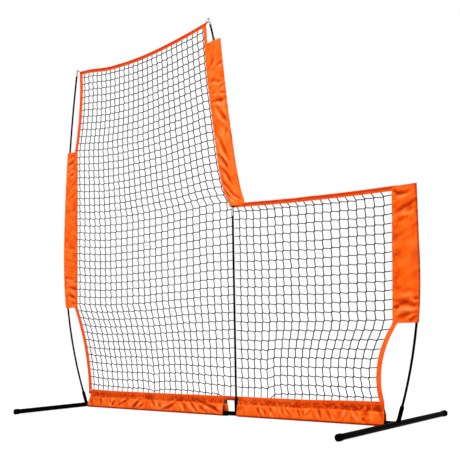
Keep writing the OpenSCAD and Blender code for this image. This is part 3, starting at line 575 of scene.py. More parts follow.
def tallKnot(i, j):
    share = (j - 0.45) / (netting["rows"] - 0.9)
    x = -1.22 + 0.04 * i
    for _ in range(3):  # settle the place between its row and its column
        z = rowHeight(topEdge(clamp(x, -1.22, -0.185)), share)
        x = leftEdge(z) + (i - 0.42) * tallSpacing(z)
    z += 0.013 * math.exp(-(i - 0.5) / 1.6) * smooth((2.0 - z) / 0.3)
    snag = math.exp(-abs(i - 13.2) / 0.9) * math.exp(-j / 4.5)
    z -= 0.022 * snag
    x += 0.012 * snag
    z -= 0.020 * smooth((x + 0.5) / 0.5) * smooth((0.5 - z) / 0.4)
    return x, z


def lowKnot(i, j):
    share = (j - 0.45) / (netting["lowRows"] - 0.9)
    x = 0.03
    for _ in range(3):
        z = rowHeight(lowTopEdge(clamp(x, 0, 0.92)), share)
        x = (i - 0.2) * rightEdge(z) / netting["lowColumns"]
    sag = smooth((6.5 - i) / 1.6) * smooth((0.55 - z) / 0.45)
    return x, z - 0.022 * sag


def wander(x, z, seed):  # uneven knots, as in a hung net
    first = noise.noise_vector(Vector((x * 6, z * 6, seed)))
    second = noise.noise_vector(Vector((x * 31, z * 31, seed + 4)))
    return x + 0.0035 * first.x + 0.0016 * second.x, z + 0.0035 * first.y + 0.0016 * second.y


def netPoint(x, z, lift=0.0):
    return Vector((x, pushed(x, z) + 0.0012 * noiseAt(x * 9, z * 9, 2.5) + lift, z))


def twineMesh(name, strands, ends):  # a tube for each list of points
    curve = bpy.data.curves.new(name, "CURVE")
    curve.dimensions = "3D"
    curve.bevel_depth = netting["twineRadius"]
    curve.bevel_resolution = 1
    for points in strands + ends:
        spline = curve.splines.new("POLY")
        spline.points.add(len(points) - 1)
        for point, spot in zip(spline.points, points):
            point.co = (*spot, 1)
    for spline in curve.splines[len(strands):]:
        spline.points[-1].radius = netting["pressed"]
    thing = bpy.data.objects.new(name, curve)
    bpy.context.scene.collection.objects.link(thing)
    selectOnly(thing)
    bpy.ops.object.convert(target="MESH")
    return bpy.context.object


def knotShape():  # two turns of twine pulled tight, seen as a lumpy bead
    deselectAll()
    bpy.ops.mesh.primitive_uv_sphere_add(segments=7, ring_count=4, radius=netting["knotRadius"])
    knot = bpy.context.object
    bpy.ops.object.mode_set(mode="EDIT")
    bpy.ops.mesh.select_all(action="SELECT")
    bpy.ops.transform.resize(value=(1.0, 0.9, 1.75))
    bpy.ops.object.mode_set(mode="OBJECT")
    for vertex in knot.data.vertices:
        turn = math.atan2(vertex.co.z, vertex.co.x)
        vertex.co *= 1 + 0.14 * math.sin(4 * turn + 0.7)
        vertex.co = Matrix.Rotation(math.radians(45), 3, "Y") @ vertex.co
    return knot


def addKnots(thing, spots):
    knot = knotShape()
    shape = [vertex.co.copy() for vertex in knot.data.vertices]
    faces = [tuple(polygon.vertices) for polygon in knot.data.polygons]
    mesh = bmesh.new()
    mesh.from_mesh(thing.data)
    for spot in spots:
        turn = Matrix.Rotation(random.uniform(-0.35, 0.35), 3, "Y")
        size = random.uniform(0.9, 1.12)
        corners = [mesh.verts.new(spot + turn @ (size * corner)) for corner in shape]
        for face in faces:
            mesh.faces.new([corners[k] for k in face])
    mesh.to_mesh(thing.data)
    mesh.free()
    bpy.data.objects.remove(knot)


# twine between two knots: it leaves one at its upper right and meets the next
# at its lower left, so the rows and columns step a little at each knot
def slackLine(a, b, seed):
    step = Vector((0.8 * netting["knotLean"], 0, 0.8 * netting["knotLean"]))
    a, b = a + step, b - step
    along = (b - a).normalized()
    middle = (a + b) / 2
    bend = netting["slack"] * noiseAt(middle.x * 57, middle.z * 57, seed)
    aside = Vector((along.z, 0, -along.x)) * bend
    return [a, a + (b - a) * 0.3 + aside, a + (b - a) * 0.7 + aside, b]


def netEnds(spots, i, j, borders, topBorder, topLean):  # where a knot's short ends go
    spot, ends = spots[i, j], []
    for side, border in zip((-1, 1), borders):
        if (i + side, j) in spots:
            continue
        if abs(border(spot.z) - spot.x) < 0.075:
            ends.append((border(spot.z), spot.z + netting["overlap"]))
        elif spot.z < 0.2:  # a sagging row that dips behind the tape
            ends.append((spot.x + 0.030 * side, 0.097))
    if (i, j - 1) not in spots and spot.z < 0.2:
        ends.append((spot.x - netting["overlap"], 0.096))
    if (i, j + 1) not in spots and spot.z > 0.8:
        ends.append((spot.x + topLean, topBorder(spot.x) + netting["overlap"]))
    return ends


def buildNet(name, knotAt, columns, rows, borders, topBorder, topLean, replaced):
    spots = {}
    for i in range(1, columns + 1):
        for j in range(1, rows + 1):
            x, z = wander(*knotAt(i, j), 1.5)
            if z <= topBorder(x) - 0.006 and x <= borders[1](z) - 0.006 and z >= 0.108:
                spots[i, j] = netPoint(x, z)
    strands, shortEnds = [], []
    for (i, j), spot in spots.items():
        for other, seed in (((i + 1, j), 0.5), ((i, j + 1), 7.5)):
            if other in spots:
                strands.append(slackLine(spot, spots[other], seed))
        for x, z in netEnds(spots, i, j, borders, topBorder, topLean):
            hidden = min(0.5, netting["underTape"] / math.hypot(x - spot.x, z - spot.z))
            rim = (x + (spot.x - x) * hidden, z + (spot.z - z) * hidden)
            middle = netPoint((spot.x + rim[0]) / 2, (spot.z + rim[1]) / 2, 0.0004)
            shortEnds.append([spot, middle, netPoint(*rim), netPoint(x, z)])
    thing = twineMesh(name, strands, shortEnds)
    addKnots(thing, spots.values())
    smoothShade(thing, 80)
    shiftToTee(thing)
    finishPiece(thing, name, "twine", [replaced])
    counts = (len(spots), "knots", len(strands) + len(shortEnds), "strands")
    print(name, *counts, len(thing.data.polygons), "faces")


def tallRightBorder(z):
    if z < 1.085:
        return -0.0005
    return centreEdge(max(z, 1.11)) + netting["overlap"]


def tallTopBorder(x):
    return topEdge(min(x, -0.18)) - outline["tapeWidth"]


buildNet(
    "tallNetting", tallKnot, 27, netting["rows"],
    (lambda z: leftEdge(z) - netting["overlap"], tallRightBorder), tallTopBorder, 0.002, "net_tall",
)
buildNet(
    "lowNetting", lowKnot, 20, netting["lowRows"],
    (lambda z: 0.0005, lambda z: rightEdge(z) + netting["overlap"]),
    lambda x: lowTopEdge(x) - outline["tapeWidth"], -0.016, "net_low",
)
print("net knotted")

# folds and creases


def segmentDistance(p, a, b):
    along = (b[0] - a[0], b[1] - a[1])
    length = along[0] ** 2 + along[1] ** 2 or 1e-12
    t = clamp(((p[0] - a[0]) * along[0] + (p[1] - a[1]) * along[1]) / length)
    dx, dz = p[0] - a[0] - t * along[0], p[1] - a[1] - t * along[1]
    side = 1 if along[0] * dz - along[1] * dx > 0 else -1
    return math.hypot(dx, dz), side, t


def creaseList(rows):  # a row gives width, depth and the path's points, each as two numbers
    return [(list(zip(row[2::2], row[3::2])), row[0], row[1]) for row in rows]


# depth of the creases at a point of the cloth, and their painted shade: each is a valley beside a
# ridge, the valley painted darker and the ridge painted lighter
def creaseDepth(p, creases):
    total, shade = 0.0, 0.0
    for path, width, depth in creases:
        reach = 5 * width
        if not all(
            min(q[k] for q in path) - reach < p[k] < max(q[k] for q in path) + reach
            for k in (0, 1)
        ):
            continue
        best, side, where = 9, 1, 0
        for k in range(len(path) - 1):
            distance, hand, t = segmentDistance(p, path[k], path[k + 1])
            if distance < best:
                best, side, where = distance, hand, (k + t) / (len(path) - 1)
        taper = math.sin(math.pi * clamp(where * 0.88 + 0.06)) ** 0.7
        s = side * best / (width * (0.45 + 0.75 * taper))
        valley = bell(s, 0.8 if s < 0 else 1.35)
        ridge = 0.9 * bell(s + 1.9, 1.1) + 0.35 * bell(s - 2.6, 1.5)
        total += depth * taper * (ridge - valley)
        # painted shade in the valley and a painted highlight on the ridge
        shade += taper * (valley - 0.85 * ridge) * min(1.0, depth / 0.0036)
    return total, shade


# long soft pleats that lie at an angle, each field strongest near its own height
def drape(x, z, fields, seed):
    total = 0
    for middle, reach, angle, strength in fields:
        near = bell(z - middle, reach)
        if near < 0.02:
            continue
        along = x * math.cos(angle) + z * math.sin(angle)
        across = z * math.cos(angle) - x * math.sin(angle)
        total += near * strength * noiseAt(along / 0.10, across / 0.021, seed)
    return total


def crumple(x, z, seed, size):  # small irregular dents with sharp ridges
    big = 1 - abs(noiseAt(x * size, z * size, seed)) * 2
    small = 1 - abs(noiseAt(x * size * 2.3, z * size * 2.3, seed + 3)) * 2
    return 0.65 * big + 0.35 * small - 0.55


# sleeves round the poles

sleeveShape = {
    "cloth": 0.0007,
    "flat": 0.0011,  # from the middle to each ply, away from the pole
    "least": 0.0008,  # the same, where the plies lie together
    "taper": 0.030,  # how far from the pole the two sides close up
    "across": 76,
    "pitch": 0.0045,  # rows up the sleeve
    "hem": 0.014,
    "hemStitch": 0.011,
    "seams": (0.005, 0.017),  # from the net's edge
    "seamStep": 0.042,  # puckers stand at each row of the net
    "crowding": 0.06,  # how much closer the columns lie at both edges
    "merge": 0.00005,
}


def crowded(share):
    return sleeveShape["crowding"] * math.sin(2 * math.pi * share) / math.pi


def sleeveProfile(a, width, poleAt, radius):
    fromPole = max(0, abs(a - poleAt) - 0.35 * radius)
    flat = sleeveShape["flat"]
    half = flat + (radius - flat) * bell(fromPole, 0.55 * sleeveShape["taper"])
    if poleAt < width - 0.02:  # flat outer fold
        half *= roundOff(width - a, 0.004)
    elif a > poleAt:  # round outer fold
        half = radius * math.sqrt(max(0, 1 - ((a - poleAt) / (width - poleAt)) ** 2))
    return half * roundOff(a, 0.003)


def makeSleeve(name, spec):
    low, high, seed = spec["low"], spec["high"], spec["seed"]
    drawn = spec["width"]
    creases = [
        ([(share * drawn, z) for share, z in path], 1.25 * wide, deep)
        for path, wide, deep in creaseList(spec["creases"])
    ]

    def surface(u, v):
        front = u <= 0.5
        side = -1 if front else 1
        share = 2 * u if front else 2 - 2 * u
        share -= crowded(share)
        z = low + (high - low) * v
        x0 = spec["inner"](z)
        width, poleAt = abs(spec["outer"](z) - x0), abs(spec["pole"](z) - x0)
        a = share * width
        x = x0 + spec["direction"] * a
        z += spec["tilt"][0] * share * (1 - v) ** 6 + spec["tilt"][1] * share * v ** 6
        half = sleeveProfile(a, width, poleAt, spec["radius"])
        beside = poleAt if a < poleAt else max(0.012, width - poleAt)
        middle = (pushed(x0, z) - 0.003) * abs(a - poleAt) / beside
        onPole = bell(a - poleAt, 0.016)
        fold, shade = creaseDepth((share * drawn, z), creases)
        crush = crumple(x, z, seed + (0 if front else 9), 11) * spec["crumple"]
        puckers, rows = 0, 2 * math.pi * z / sleeveShape["seamStep"]
        for seam in sleeveShape["seams"]:
            near = math.exp(-(abs(a - seam) / 0.009))
            puckers += 0.0007 * near * math.sin(rows + 0.8 * math.sin(z * 37) + seed)
            puckers -= 0.0009 * bell(a - seam, 0.0013)
        if spec["outerSeam"]:
            puckers -= 0.0009 * bell(width - a - spec["outerSeam"], 0.0014)
        ends = min(v, 1 - v) * (high - low)
        hem = 0.0006 * smooth((sleeveShape["hem"] - ends) / 0.002)
        hem -= 0.0008 * bell(ends - sleeveShape["hemStitch"], 0.0013)
        pleat = drape(x, z, spec["pleats"], seed + 20)
        dent = hem + puckers + 0.0011 * crush
        lift = max(dent, min(half, sleeveShape["least"]) - half)  # the plies never pass each other
        wave = 1.5 * fold + 0.0026 * pleat + 0.0030 * noiseAt(x * 5, z * 3.1, seed)
        tug = max(0, noiseAt(0.3, z * 47 - 260 * a * a, seed + 60)) * bell(a - 0.027, 0.016)
        tug *= spec["tug"]
        # random mottling of the colour that also moves the cloth; on the front ply its lighter
        # patches stand out, so it is partly painted light and shade
        mottle = noiseAt(x * 34, z * 20, seed + 90)
        mottle += 0.6 * noiseAt(x * 95, z * 62, seed + 91)
        wave += 0.0012 * mottle - 0.0050 * tug * (1 - onPole)
        room = 0.0010 + 0.0075 * smooth((a - 0.016) / 0.022)
        room = room * (1 - onPole) + 0.0031 * onPole
        if front:  # both plies fold together, and neither reaches the pole or the tape
            wave = max(-room, wave)
        else:
            wave = min(room, wave)
            # the back ply's painted shade from creases and pleats is turned round and weaker
            shade, pleat, tug = -0.6 * shade, -pleat, 0.4 * tug
        edge = min(a / 0.004, (width - a) / 0.004, 1)
        # painted shade at each pucker along the inner seam
        seamDot = bell(a - 0.019, 0.005) * max(0, math.sin(rows + 1.2)) ** 4
        # painted shade: darker in crease valleys, dents, pleat hollows, seam puckers, tugs and at
        # the outer fold's rim, and by each sleeve's own overall painted shade; a painted highlight
        # on ridges, raised crumples and pleats
        shade -= 0.20 * crush + 0.55 * pleat + 110 * min(0, puckers)
        shade += 0.35 * seamDot + 1.1 * tug + spec["rim"] * bell(width - a, 0.006)
        shade += spec["paintedShade"] - spec["mottle"] * mottle
        return Vector((x, middle + side * (half + lift * edge) - wave * edge, z)), shade

    size = (2 * abs(spec["outer"](low) - spec["inner"](low)), high - low)
    rows = int((high - low) / sleeveShape["pitch"])
    sleeve = shapedGrid(name, sleeveShape["across"], rows, surface, size)
    closing = closeTop if spec["closedTop"] else None
    outwards(sleeve, sleeveShape["merge"], closing)
    thicken(sleeve, sleeveShape["cloth"], 75)
    shiftToTee(sleeve)
    finishPiece(sleeve, name, "nylon", [spec["node"]])
    return sleeve, surface


def closeTop(sleeve):  # sew the top shut
    mesh = bmesh.from_edit_mesh(sleeve.data)
    for edge in mesh.edges:
        edge.select = False
    top = max(vertex.co.z for vertex in mesh.verts) - 0.02
    rim = [e for e in mesh.edges if e.is_boundary and all(v.co.z > top for v in e.verts)]
    for edge in rim:
        edge.select = True
    bmesh.update_edit_mesh(sleeve.data)
    bpy.ops.mesh.select_mode(type="EDGE")
    for lift, squeeze in ((0.0028, 0.72), (0.0016, 0.35)):
        bpy.ops.mesh.extrude_edges_move()
        for vertex in mesh.verts:
            if vertex.select:
                vertex.co.z += lift
                vertex.co.y *= squeeze
        bmesh.update_edit_mesh(sleeve.data)
    bpy.ops.mesh.fill_holes(sides=0)


# the paths of the creases go by the share of the sleeve's width, and the height
# each sleeve gets its own overall painted shade, and rim adds painted shade along the outer fold
poleSleeves = {
    "centreSleeve": {
        "node": "centre_sleeve", "flat": (0.245, 0.94),
        "restsOn": ["centre_pole_upper", "centre_pole_lower"],
        "inner": centreEdge, "pole": centrePole, "outer": centreOuter, "direction": 1,
        "low": 1.090, "high": 2.034, "width": 0.116, "radius": 0.0095, "tilt": (0.005, 0.008),
        "crumple": 0.9, "seed": 3.0, "paintedShade": -0.10, "tug": 0.5, "mottle": 0.28, "rim": 0.4,
        "outerSeam": 0, "closedTop": False,
        # height and reach of each field of pleats, its angle and its strength
        "pleats": (
            (1.99, 0.07, 1.3, 0.5), (1.78, 0.12, 0.25, 1.0), (1.48, 0.14, -0.85, 0.9),
            (1.20, 0.16, -1.0, 0.9),
        ),
        "creases": (
            (0.0075, 0.0040, 0.34, 1.66, 0.53, 1.623, 0.74, 1.582, 0.88, 1.563),
            (0.0065, 0.0042, 0.09, 1.512, 0.30, 1.47, 0.49, 1.397, 0.59, 1.372, 0.74, 1.338),
            (0.0060, 0.0020, 0.84, 1.526, 0.73, 1.50, 0.66, 1.473),
            (0.0055, 0.0040, 0.03, 1.391, 0.29, 1.36, 0.42, 1.329, 0.58, 1.295),
            (0.0050, 0.0046, 0.05, 1.323, 0.39, 1.273, 0.52, 1.242, 0.72, 1.200),
            (0.0048, 0.0046, 0.02, 1.258, 0.15, 1.223, 0.38, 1.182, 0.61, 1.142, 0.86, 1.120),
            (0.0045, 0.0030, 0.05, 1.19, 0.25, 1.150, 0.50, 1.118),
            (0.0060, 0.0020, 0.12, 1.885, 0.30, 1.905, 0.44, 1.945),
            (0.0055, 0.0026, 0.66, 1.885, 0.85, 1.90, 0.98, 1.905),
            (0.0065, 0.0036, 0.20, 1.80, 0.38, 1.812, 0.58, 1.795),
            (0.0055, 0.0024, 0.50, 1.815, 0.70, 1.79, 0.92, 1.795),
            (0.0050, 0.0028, 0.62, 1.752, 0.80, 1.765, 0.97, 1.775),
            (0.0045, 0.0020, 0.12, 1.742, 0.30, 1.738, 0.45, 1.745),
            (0.0045, 0.0028, 0.60, 1.735, 0.78, 1.728, 0.97, 1.725),
            (0.0070, 0.0034, 0.12, 1.688, 0.45, 1.693, 0.80, 1.683, 0.97, 1.695),
            (0.0080, 0.0016, 0.30, 1.978, 0.34, 1.94, 0.40, 1.90),
        ),
    },
    "leftSleeve": {
        "node": "left_sleeve", "flat": (0.235, 0.998),
        "restsOn": ["left_pole_lower", "left_pole_upper"],
        "inner": leftEdge, "pole": leftPole, "outer": leftOuter, "direction": -1,
        "low": 0.600, "high": 1.598, "width": 0.108, "radius": 0.0112, "tilt": (0, 0),
        "crumple": 0.8, "seed": 5.0, "paintedShade": 0.04, "tug": 0.30, "mottle": 0.36, "rim": 0,
        "outerSeam": 0, "closedTop": False,
        "pleats": (
            (1.50, 0.10, -0.5, 1.0), (1.22, 0.17, -0.6, 1.1), (0.92, 0.14, -0.3, 1.0),
            (0.70, 0.12, 0.1, 1.0),
        ),
        "creases": (
            (0.0050, 0.0018, 0.12, 1.575, 0.45, 1.572, 0.85, 1.560),
            (0.0062, 0.0042, 0.16, 1.553, 0.40, 1.537, 0.62, 1.524, 0.88, 1.512),
            (0.0050, 0.0026, 0.18, 1.496, 0.48, 1.485, 0.70, 1.478),
            (0.0056, 0.0034, 0.16, 1.466, 0.42, 1.452, 0.68, 1.446),
            (0.0060, 0.0018, 0.10, 1.40, 0.40, 1.385, 0.60, 1.36),
            (0.0065, 0.0020, 0.12, 1.33, 0.35, 1.315, 0.70, 1.29),
            (0.0070, 0.0016, 0.10, 1.23, 0.50, 1.215, 0.90, 1.205),
            (0.0065, 0.0015, 0.10, 0.985, 0.40, 0.975, 0.85, 0.99),
            (0.0062, 0.0021, 0.05, 0.787, 0.28, 0.779, 0.50, 0.783, 0.90, 0.793),
            (0.0048, 0.0018, 0.03, 0.762, 0.18, 0.760, 0.36, 0.757),
            (0.0062, 0.0046, 0.03, 0.716, 0.36, 0.721, 0.72, 0.733),
            (0.0056, 0.0044, 0.06, 0.652, 0.39, 0.667, 0.70, 0.683),
            (0.0042, 0.0026, 0.10, 0.620, 0.30, 0.624, 0.50, 0.634),
            (0.0045, 0.0022, 0.80, 0.80, 0.84, 0.749, 0.83, 0.739, 0.77, 0.72),
        ),
    },
    "rightSleeve": {
        "node": "right_sleeve", "flat": (0.265, 0.614), "restsOn": ["right_pole"],
        "inner": rightEdge, "pole": rightPole, "outer": rightOuter, "direction": 1,
        "low": 0.452, "high": 1.0655, "width": 0.124, "radius": 0.0094, "tilt": (0, 0),
        "crumple": 0.7, "seed": 8.0, "paintedShade": 0.17, "tug": 0.35, "mottle": 0.30, "rim": 0.7,
        "outerSeam": 0.016, "closedTop": True,
        "pleats": ((0.99, 0.08, 0.5, 1.0), (0.76, 0.14, 0.4, 1.1), (0.52, 0.08, -0.05, 1.0)),
        "creases": (
            (0.0040, 0.0036, 0.02, 1.052, 0.11, 1.044, 0.22, 1.037),
            (0.0060, 0.0040, 0.12, 1.029, 0.26, 1.031, 0.49, 1.032, 0.76, 1.041),
            (
                0.0085, 0.0050, 0.14, 0.946, 0.26, 0.954, 0.38, 0.963, 0.52, 0.973, 0.71, 0.982,
                0.94, 0.994,
            ),
            (0.0075, 0.0034, 0.50, 0.944, 0.65, 0.953, 0.90, 0.964),
            (0.0060, 0.0012, 0.12, 0.985, 0.30, 1.003, 0.44, 1.015),
            (0.0070, 0.0018, 0.12, 0.905, 0.35, 0.915, 0.70, 0.930),
            (0.0065, 0.0014, 0.20, 0.60, 0.45, 0.592, 0.80, 0.600),
            (0.0050, 0.0026, 0.74, 0.561, 0.84, 0.558, 0.95, 0.556),
            (0.0085, 0.0046, 0.13, 0.522, 0.31, 0.539, 0.52, 0.542, 0.76, 0.529, 0.90, 0.531),
            (0.0042, 0.0040, 0.03, 0.524, 0.13, 0.521, 0.23, 0.518),
            (0.0070, 0.0036, 0.94, 0.500, 0.77, 0.496, 0.53, 0.492, 0.30, 0.486, 0.15, 0.479),
            (0.0048, 0.0036, 0.95, 0.486, 0.78, 0.473, 0.55, 0.461),
        ),
    },
}
surfaces = {}  # each cloth's rule, which its stitches follow
for name, spec in poleSleeves.items():
    sleeve, surfaces[name] = makeSleeve(name, spec)
    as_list(spec["restsOn"])
print("pole sleeves sewn")

# sleeves round the base tubes

baseShape = {
    "top": 0.100,
    "reach": 0.0143,
    "clear": 0.0134,  # the cloth keeps this far from the tube's middle
    "across": 84,
    "seams": (0.005, 0.018),
    # half the sleeve's thickness at each height
    "halves": (
        (0.100, 0.0008), (0.090, 0.0011), (0.077, 0.0014), (0.060, 0.0058), (0.045, 0.0095),
        (0.030, 0.0122), (0.0145, 0.0143),
    ),
}
drop = baseShape["top"] - outline["axisHeight"]
girth = drop + baseShape["reach"] * math.pi / 2  # from the sewn edge down to the floor


def baseProfile(z):
    for (zHigh, halfHigh), (zLow, halfLow) in zip(baseShape["halves"], baseShape["halves"][1:]):
        if z >= zLow:
            return halfHigh + (halfLow - halfHigh) * smooth((zHigh - z) / (zHigh - zLow))
    return halfLow


def makeBaseSleeve(name, spec):
    x0, x1 = spec["from"], spec["to"]
    creases = creaseList(spec["creases"])
    backCreases = [([(x0 + x1 - x, z) for x, z in path], w, d) for path, w, d in creases]
    axis, reach = outline["axisHeight"], baseShape["reach"]

    def surface(u, v):
        front = u <= 0.5
        side = -1 if front else 1
        s = (2 * u if front else 2 - 2 * u) * girth
        x = x0 + (x1 - x0) * v
        x += spec["slant"](s / girth, v, front)
        ends = min(v, 1 - v) * (x1 - x0)
        seed = spec["seed"] + (0 if front else 7)
        gather = noiseAt(x * 16, 0.3, seed)
        lean = x - side * 0.5 * (drop - min(s, drop)) * math.sin(x * 9.0 + seed)
        turn = lean * 2 * math.pi / 0.071 + 2.6 * gather
        folds = math.sin(turn) + 0.5 * math.sin(2 * turn) + 0.33 * math.sin(3 * turn)
        folds += 0.4 * math.sin(lean * 2 * math.pi / 0.037 + 3 * gather)
        depthHere = smooth((s - 0.034) / 0.020) * smooth((girth - 0.012 - s) / 0.02)
        crush = crumple(x, s, seed, 17)
        # the dented band under the binding, which also gets painted shade
        band = math.exp(-((s - 0.026 - 0.005 * gather) / 0.0130) ** 4)
        marks = sum(strength * bell(x - place, wide) for place, wide, strength in spec["marks"])
        blotch = 0.80 + 1.9 * noiseAt(x * 60, s * 75, seed + 2)
        blotch += 1.2 * noiseAt(x * 170, s * 190, seed + 3)
        fold, shade = creaseDepth((x, 0.1 - s), creases if front else backCreases)
        crushed = crush * smooth((s - 0.015) / 0.03) * smooth((girth - 0.005 - s) / 0.02)
        wave = 0.0010 * folds * depthHere + 0.0013 * crushed + 1.25 * fold
        wave -= 0.0022 * band * (0.4 + 0.6 * marks)
        along = (x + s * math.sin(7 * x + seed)) / 0.026
        pleat = noiseAt(along, s / 0.09, seed + 40) * depthHere
        wave += 0.0016 * pleat - 0.0007 * bell(s - baseShape["seams"][0], 0.0013)
        wave += 0.0005 * smooth((0.012 - ends) / 0.002)
        if s <= drop:
            z = baseShape["top"] - s
            half, inside = baseProfile(z), sleeveShape["least"]
            if z < axis + baseShape["clear"]:
                inside = math.sqrt(max(0, baseShape["clear"] ** 2 - (z - axis) ** 2))
            wave = max(inside - half, wave)
            middle = (pushed(x, 0.1) - 0.003) * clamp((z - 0.055) / 0.045)
            z += spec["rise"](x) * clamp((z - 0.03) / 0.06)
            sway = 0.0016 * noiseAt(x * 7, 0.1, spec["seed"])
            middle += sway * clamp((z - 0.03) / 0.03) * clamp((0.098 - z) / 0.01)
            y = middle + side * (half * roundOff(s, 0.003) + wave * clamp(s / 0.004))
        else:
            radius, turn = reach + max(-0.0008, 0.4 * wave), (s - drop) / reach
            y = side * radius * math.cos(turn)
            z = max(0.0004, axis - radius * math.sin(turn))
        # painted shade: darker in creases, fold hollows, crumples and pleats, in the dented band
        # under the binding, along the top under the binding, where the cloth turns under the tube,
        # and by each sleeve's own overall painted shade; a painted highlight line runs below the
        # band and on raised folds
        shade = spec["depth"] * shade - 0.20 * folds * depthHere - 0.35 * crush - 0.6 * pleat
        shade += band * (0.24 + 0.55 * marks) * blotch + 0.30 * smooth((0.042 - s) / 0.008)
        shade -= 0.35 * bell(s - 0.0435 - 0.005 * gather, 0.003)
        shade += spec["paintedShade"] + 1.6 * smooth((s - 0.0875) / 0.007)
        return Vector((x, y, z)), shade

    columns = int((x1 - x0) / sleeveShape["pitch"])
    sleeve = shapedGrid(name, baseShape["across"], columns, surface, (2 * girth, x1 - x0))
    outwards(sleeve, sleeveShape["merge"])
    thicken(sleeve, sleeveShape["cloth"], 75)
    shiftToTee(sleeve)
    finishPiece(sleeve, name, "nylon", [spec["node"]])
    return sleeve, surface


def leftSlant(share, v, front):  # the ends are cut at a slant
    back = 0 if front else 0.018 * smooth((v - 0.96) / 0.04)
    return 0.024 * (1 - share) * (1 - v) ** 30 + back


# the paths of the creases go by the place along the base, and the height
# each sleeve gets its own overall painted shade, and depth sets the strength of its creases'
# painted shade
baseSleeves = {
    "bottomSleeveLeft": {
        "node": "bottom_sleeve_left", "restsOn": ["base_tube_left"],
        "from": -1.1283, "to": -0.080, "length": 1.048, "stitches": "bottomLeftStitches",
        "seed": 12.0, "paintedShade": 0.06, "depth": 1.1, "slant": leftSlant,
        "rise": lambda x: 0.004 * smooth((-0.9 - x) / 0.2),
        # place, width and strength of each dent along the tube, which also deepens the band's
        # painted shade
        "marks": (
            (-1.00, 0.05, 0.7), (-0.78, 0.03, 1.0), (-0.62, 0.04, 0.6), (-0.40, 0.04, 1.0),
            (-0.27, 0.07, 0.6), (-0.13, 0.05, 0.3),
        ),
        "creases": (
            (0.0050, 0.0022, -1.060, 0.084, -1.048, 0.074, -1.034, 0.064),
            (0.0060, 0.0022, -1.024, 0.056, -1.013, 0.036, -1.003, 0.018),
            (0.0062, 0.0026, -0.945, 0.050, -0.924, 0.035, -0.904, 0.020),
            (0.0060, 0.0032, -0.888, 0.056, -0.905, 0.038, -0.920, 0.014),
            (0.0058, 0.0044, -0.780, 0.062, -0.818, 0.044, -0.862, 0.022),
            (0.0060, 0.0044, -0.676, 0.066, -0.720, 0.038, -0.746, 0.012),
            (0.0050, 0.0032, -0.650, 0.042, -0.680, 0.027, -0.708, 0.012),
            (0.0058, 0.0042, -0.602, 0.062, -0.578, 0.041, -0.560, 0.022),
            (0.0060, 0.0024, -0.546, 0.056, -0.536, 0.038, -0.522, 0.020),
            (0.0060, 0.0040, -0.405, 0.063, -0.459, 0.031, -0.516, 0.014),
            (0.0052, 0.0046, -0.380, 0.062, -0.355, 0.039, -0.332, 0.006),
            (0.0050, 0.0022, -0.362, 0.060, -0.337, 0.036, -0.318, 0.012),
            (0.0055, 0.0040, -0.316, 0.066, -0.285, 0.039, -0.254, 0.014),
            (0.0055, 0.0052, -0.230, 0.061, -0.168, 0.045, -0.088, 0.014),
            (0.0060, 0.0020, -0.245, 0.040, -0.205, 0.022, -0.180, 0.010),
        ),
    },
    "bottomSleeveRight": {
        "node": "bottom_sleeve_right", "restsOn": ["base_tube_right"],
        "from": 0.012, "to": 0.832, "length": 0.811, "stitches": "bottomRightStitches",
        "seed": 21.0, "paintedShade": 0.05, "depth": 0.80,
        "slant": lambda share, v, front: 0.006 * math.sin(3 * share) * v ** 40,
        "rise": lambda x: 0.007 * smooth((x - 0.35) / 0.45),
        "marks": (
            (0.12, 0.04, 0.6), (0.21, 0.03, 0.7), (0.33, 0.07, 0.9), (0.59, 0.03, 0.6),
            (0.70, 0.06, 0.8), (0.80, 0.04, 0.6),
        ),
        "creases": (
            (0.0060, 0.0020, 0.050, 0.080, 0.062, 0.064, 0.070, 0.050),
            (0.0055, 0.0030, 0.126, 0.056, 0.152, 0.031, 0.168, 0.012),
            (0.0055, 0.0036, 0.160, 0.057, 0.182, 0.037, 0.196, 0.014),
            (0.0058, 0.0042, 0.206, 0.057, 0.231, 0.035, 0.252, 0.012),
            (0.0050, 0.0034, 0.254, 0.086, 0.275, 0.069, 0.291, 0.054),
            (0.0050, 0.0036, 0.273, 0.060, 0.291, 0.042, 0.306, 0.018),
            (0.0046, 0.0038, 0.297, 0.061, 0.316, 0.045, 0.338, 0.026),
            (0.0048, 0.0036, 0.374, 0.059, 0.385, 0.040, 0.396, 0.018),
            (0.0046, 0.0030, 0.396, 0.060, 0.410, 0.041, 0.420, 0.020),
            (0.0050, 0.0034, 0.455, 0.058, 0.440, 0.042, 0.424, 0.026),
            (0.0055, 0.0026, 0.493, 0.058, 0.505, 0.038, 0.516, 0.016),
            (0.0055, 0.0030, 0.534, 0.060, 0.553, 0.038, 0.568, 0.018),
            (0.0050, 0.0030, 0.568, 0.050, 0.581, 0.034, 0.594, 0.018),
            (0.0055, 0.0026, 0.652, 0.058, 0.642, 0.037, 0.627, 0.017),
            (0.0060, 0.0036, 0.677, 0.066, 0.693, 0.050, 0.708, 0.034),
            (0.0050, 0.0026, 0.724, 0.032, 0.741, 0.021, 0.753, 0.010),
            (0.0060, 0.0026, 0.762, 0.073, 0.743, 0.057, 0.726, 0.048),
            (0.0060, 0.0024, 0.792, 0.073, 0.816, 0.058, 0.828, 0.034),
        ),
    },
}
for name, spec in baseSleeves.items():
    sleeve, surfaces[name] = makeBaseSleeve(name, spec)
    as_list(spec["restsOn"])
print("base sleeves sewn")

# binding tapes: folded over the net's edge, so front ply, fold, back ply

tapeShape = {
    "ply": 0.0008, "half": 0.0015, "pitch": 0.008, "ripple": 0.0006, "across": 16,
    "stitchAt": 0.0175,  # from the fold
}
tapeWide = outline["tapeWidth"]


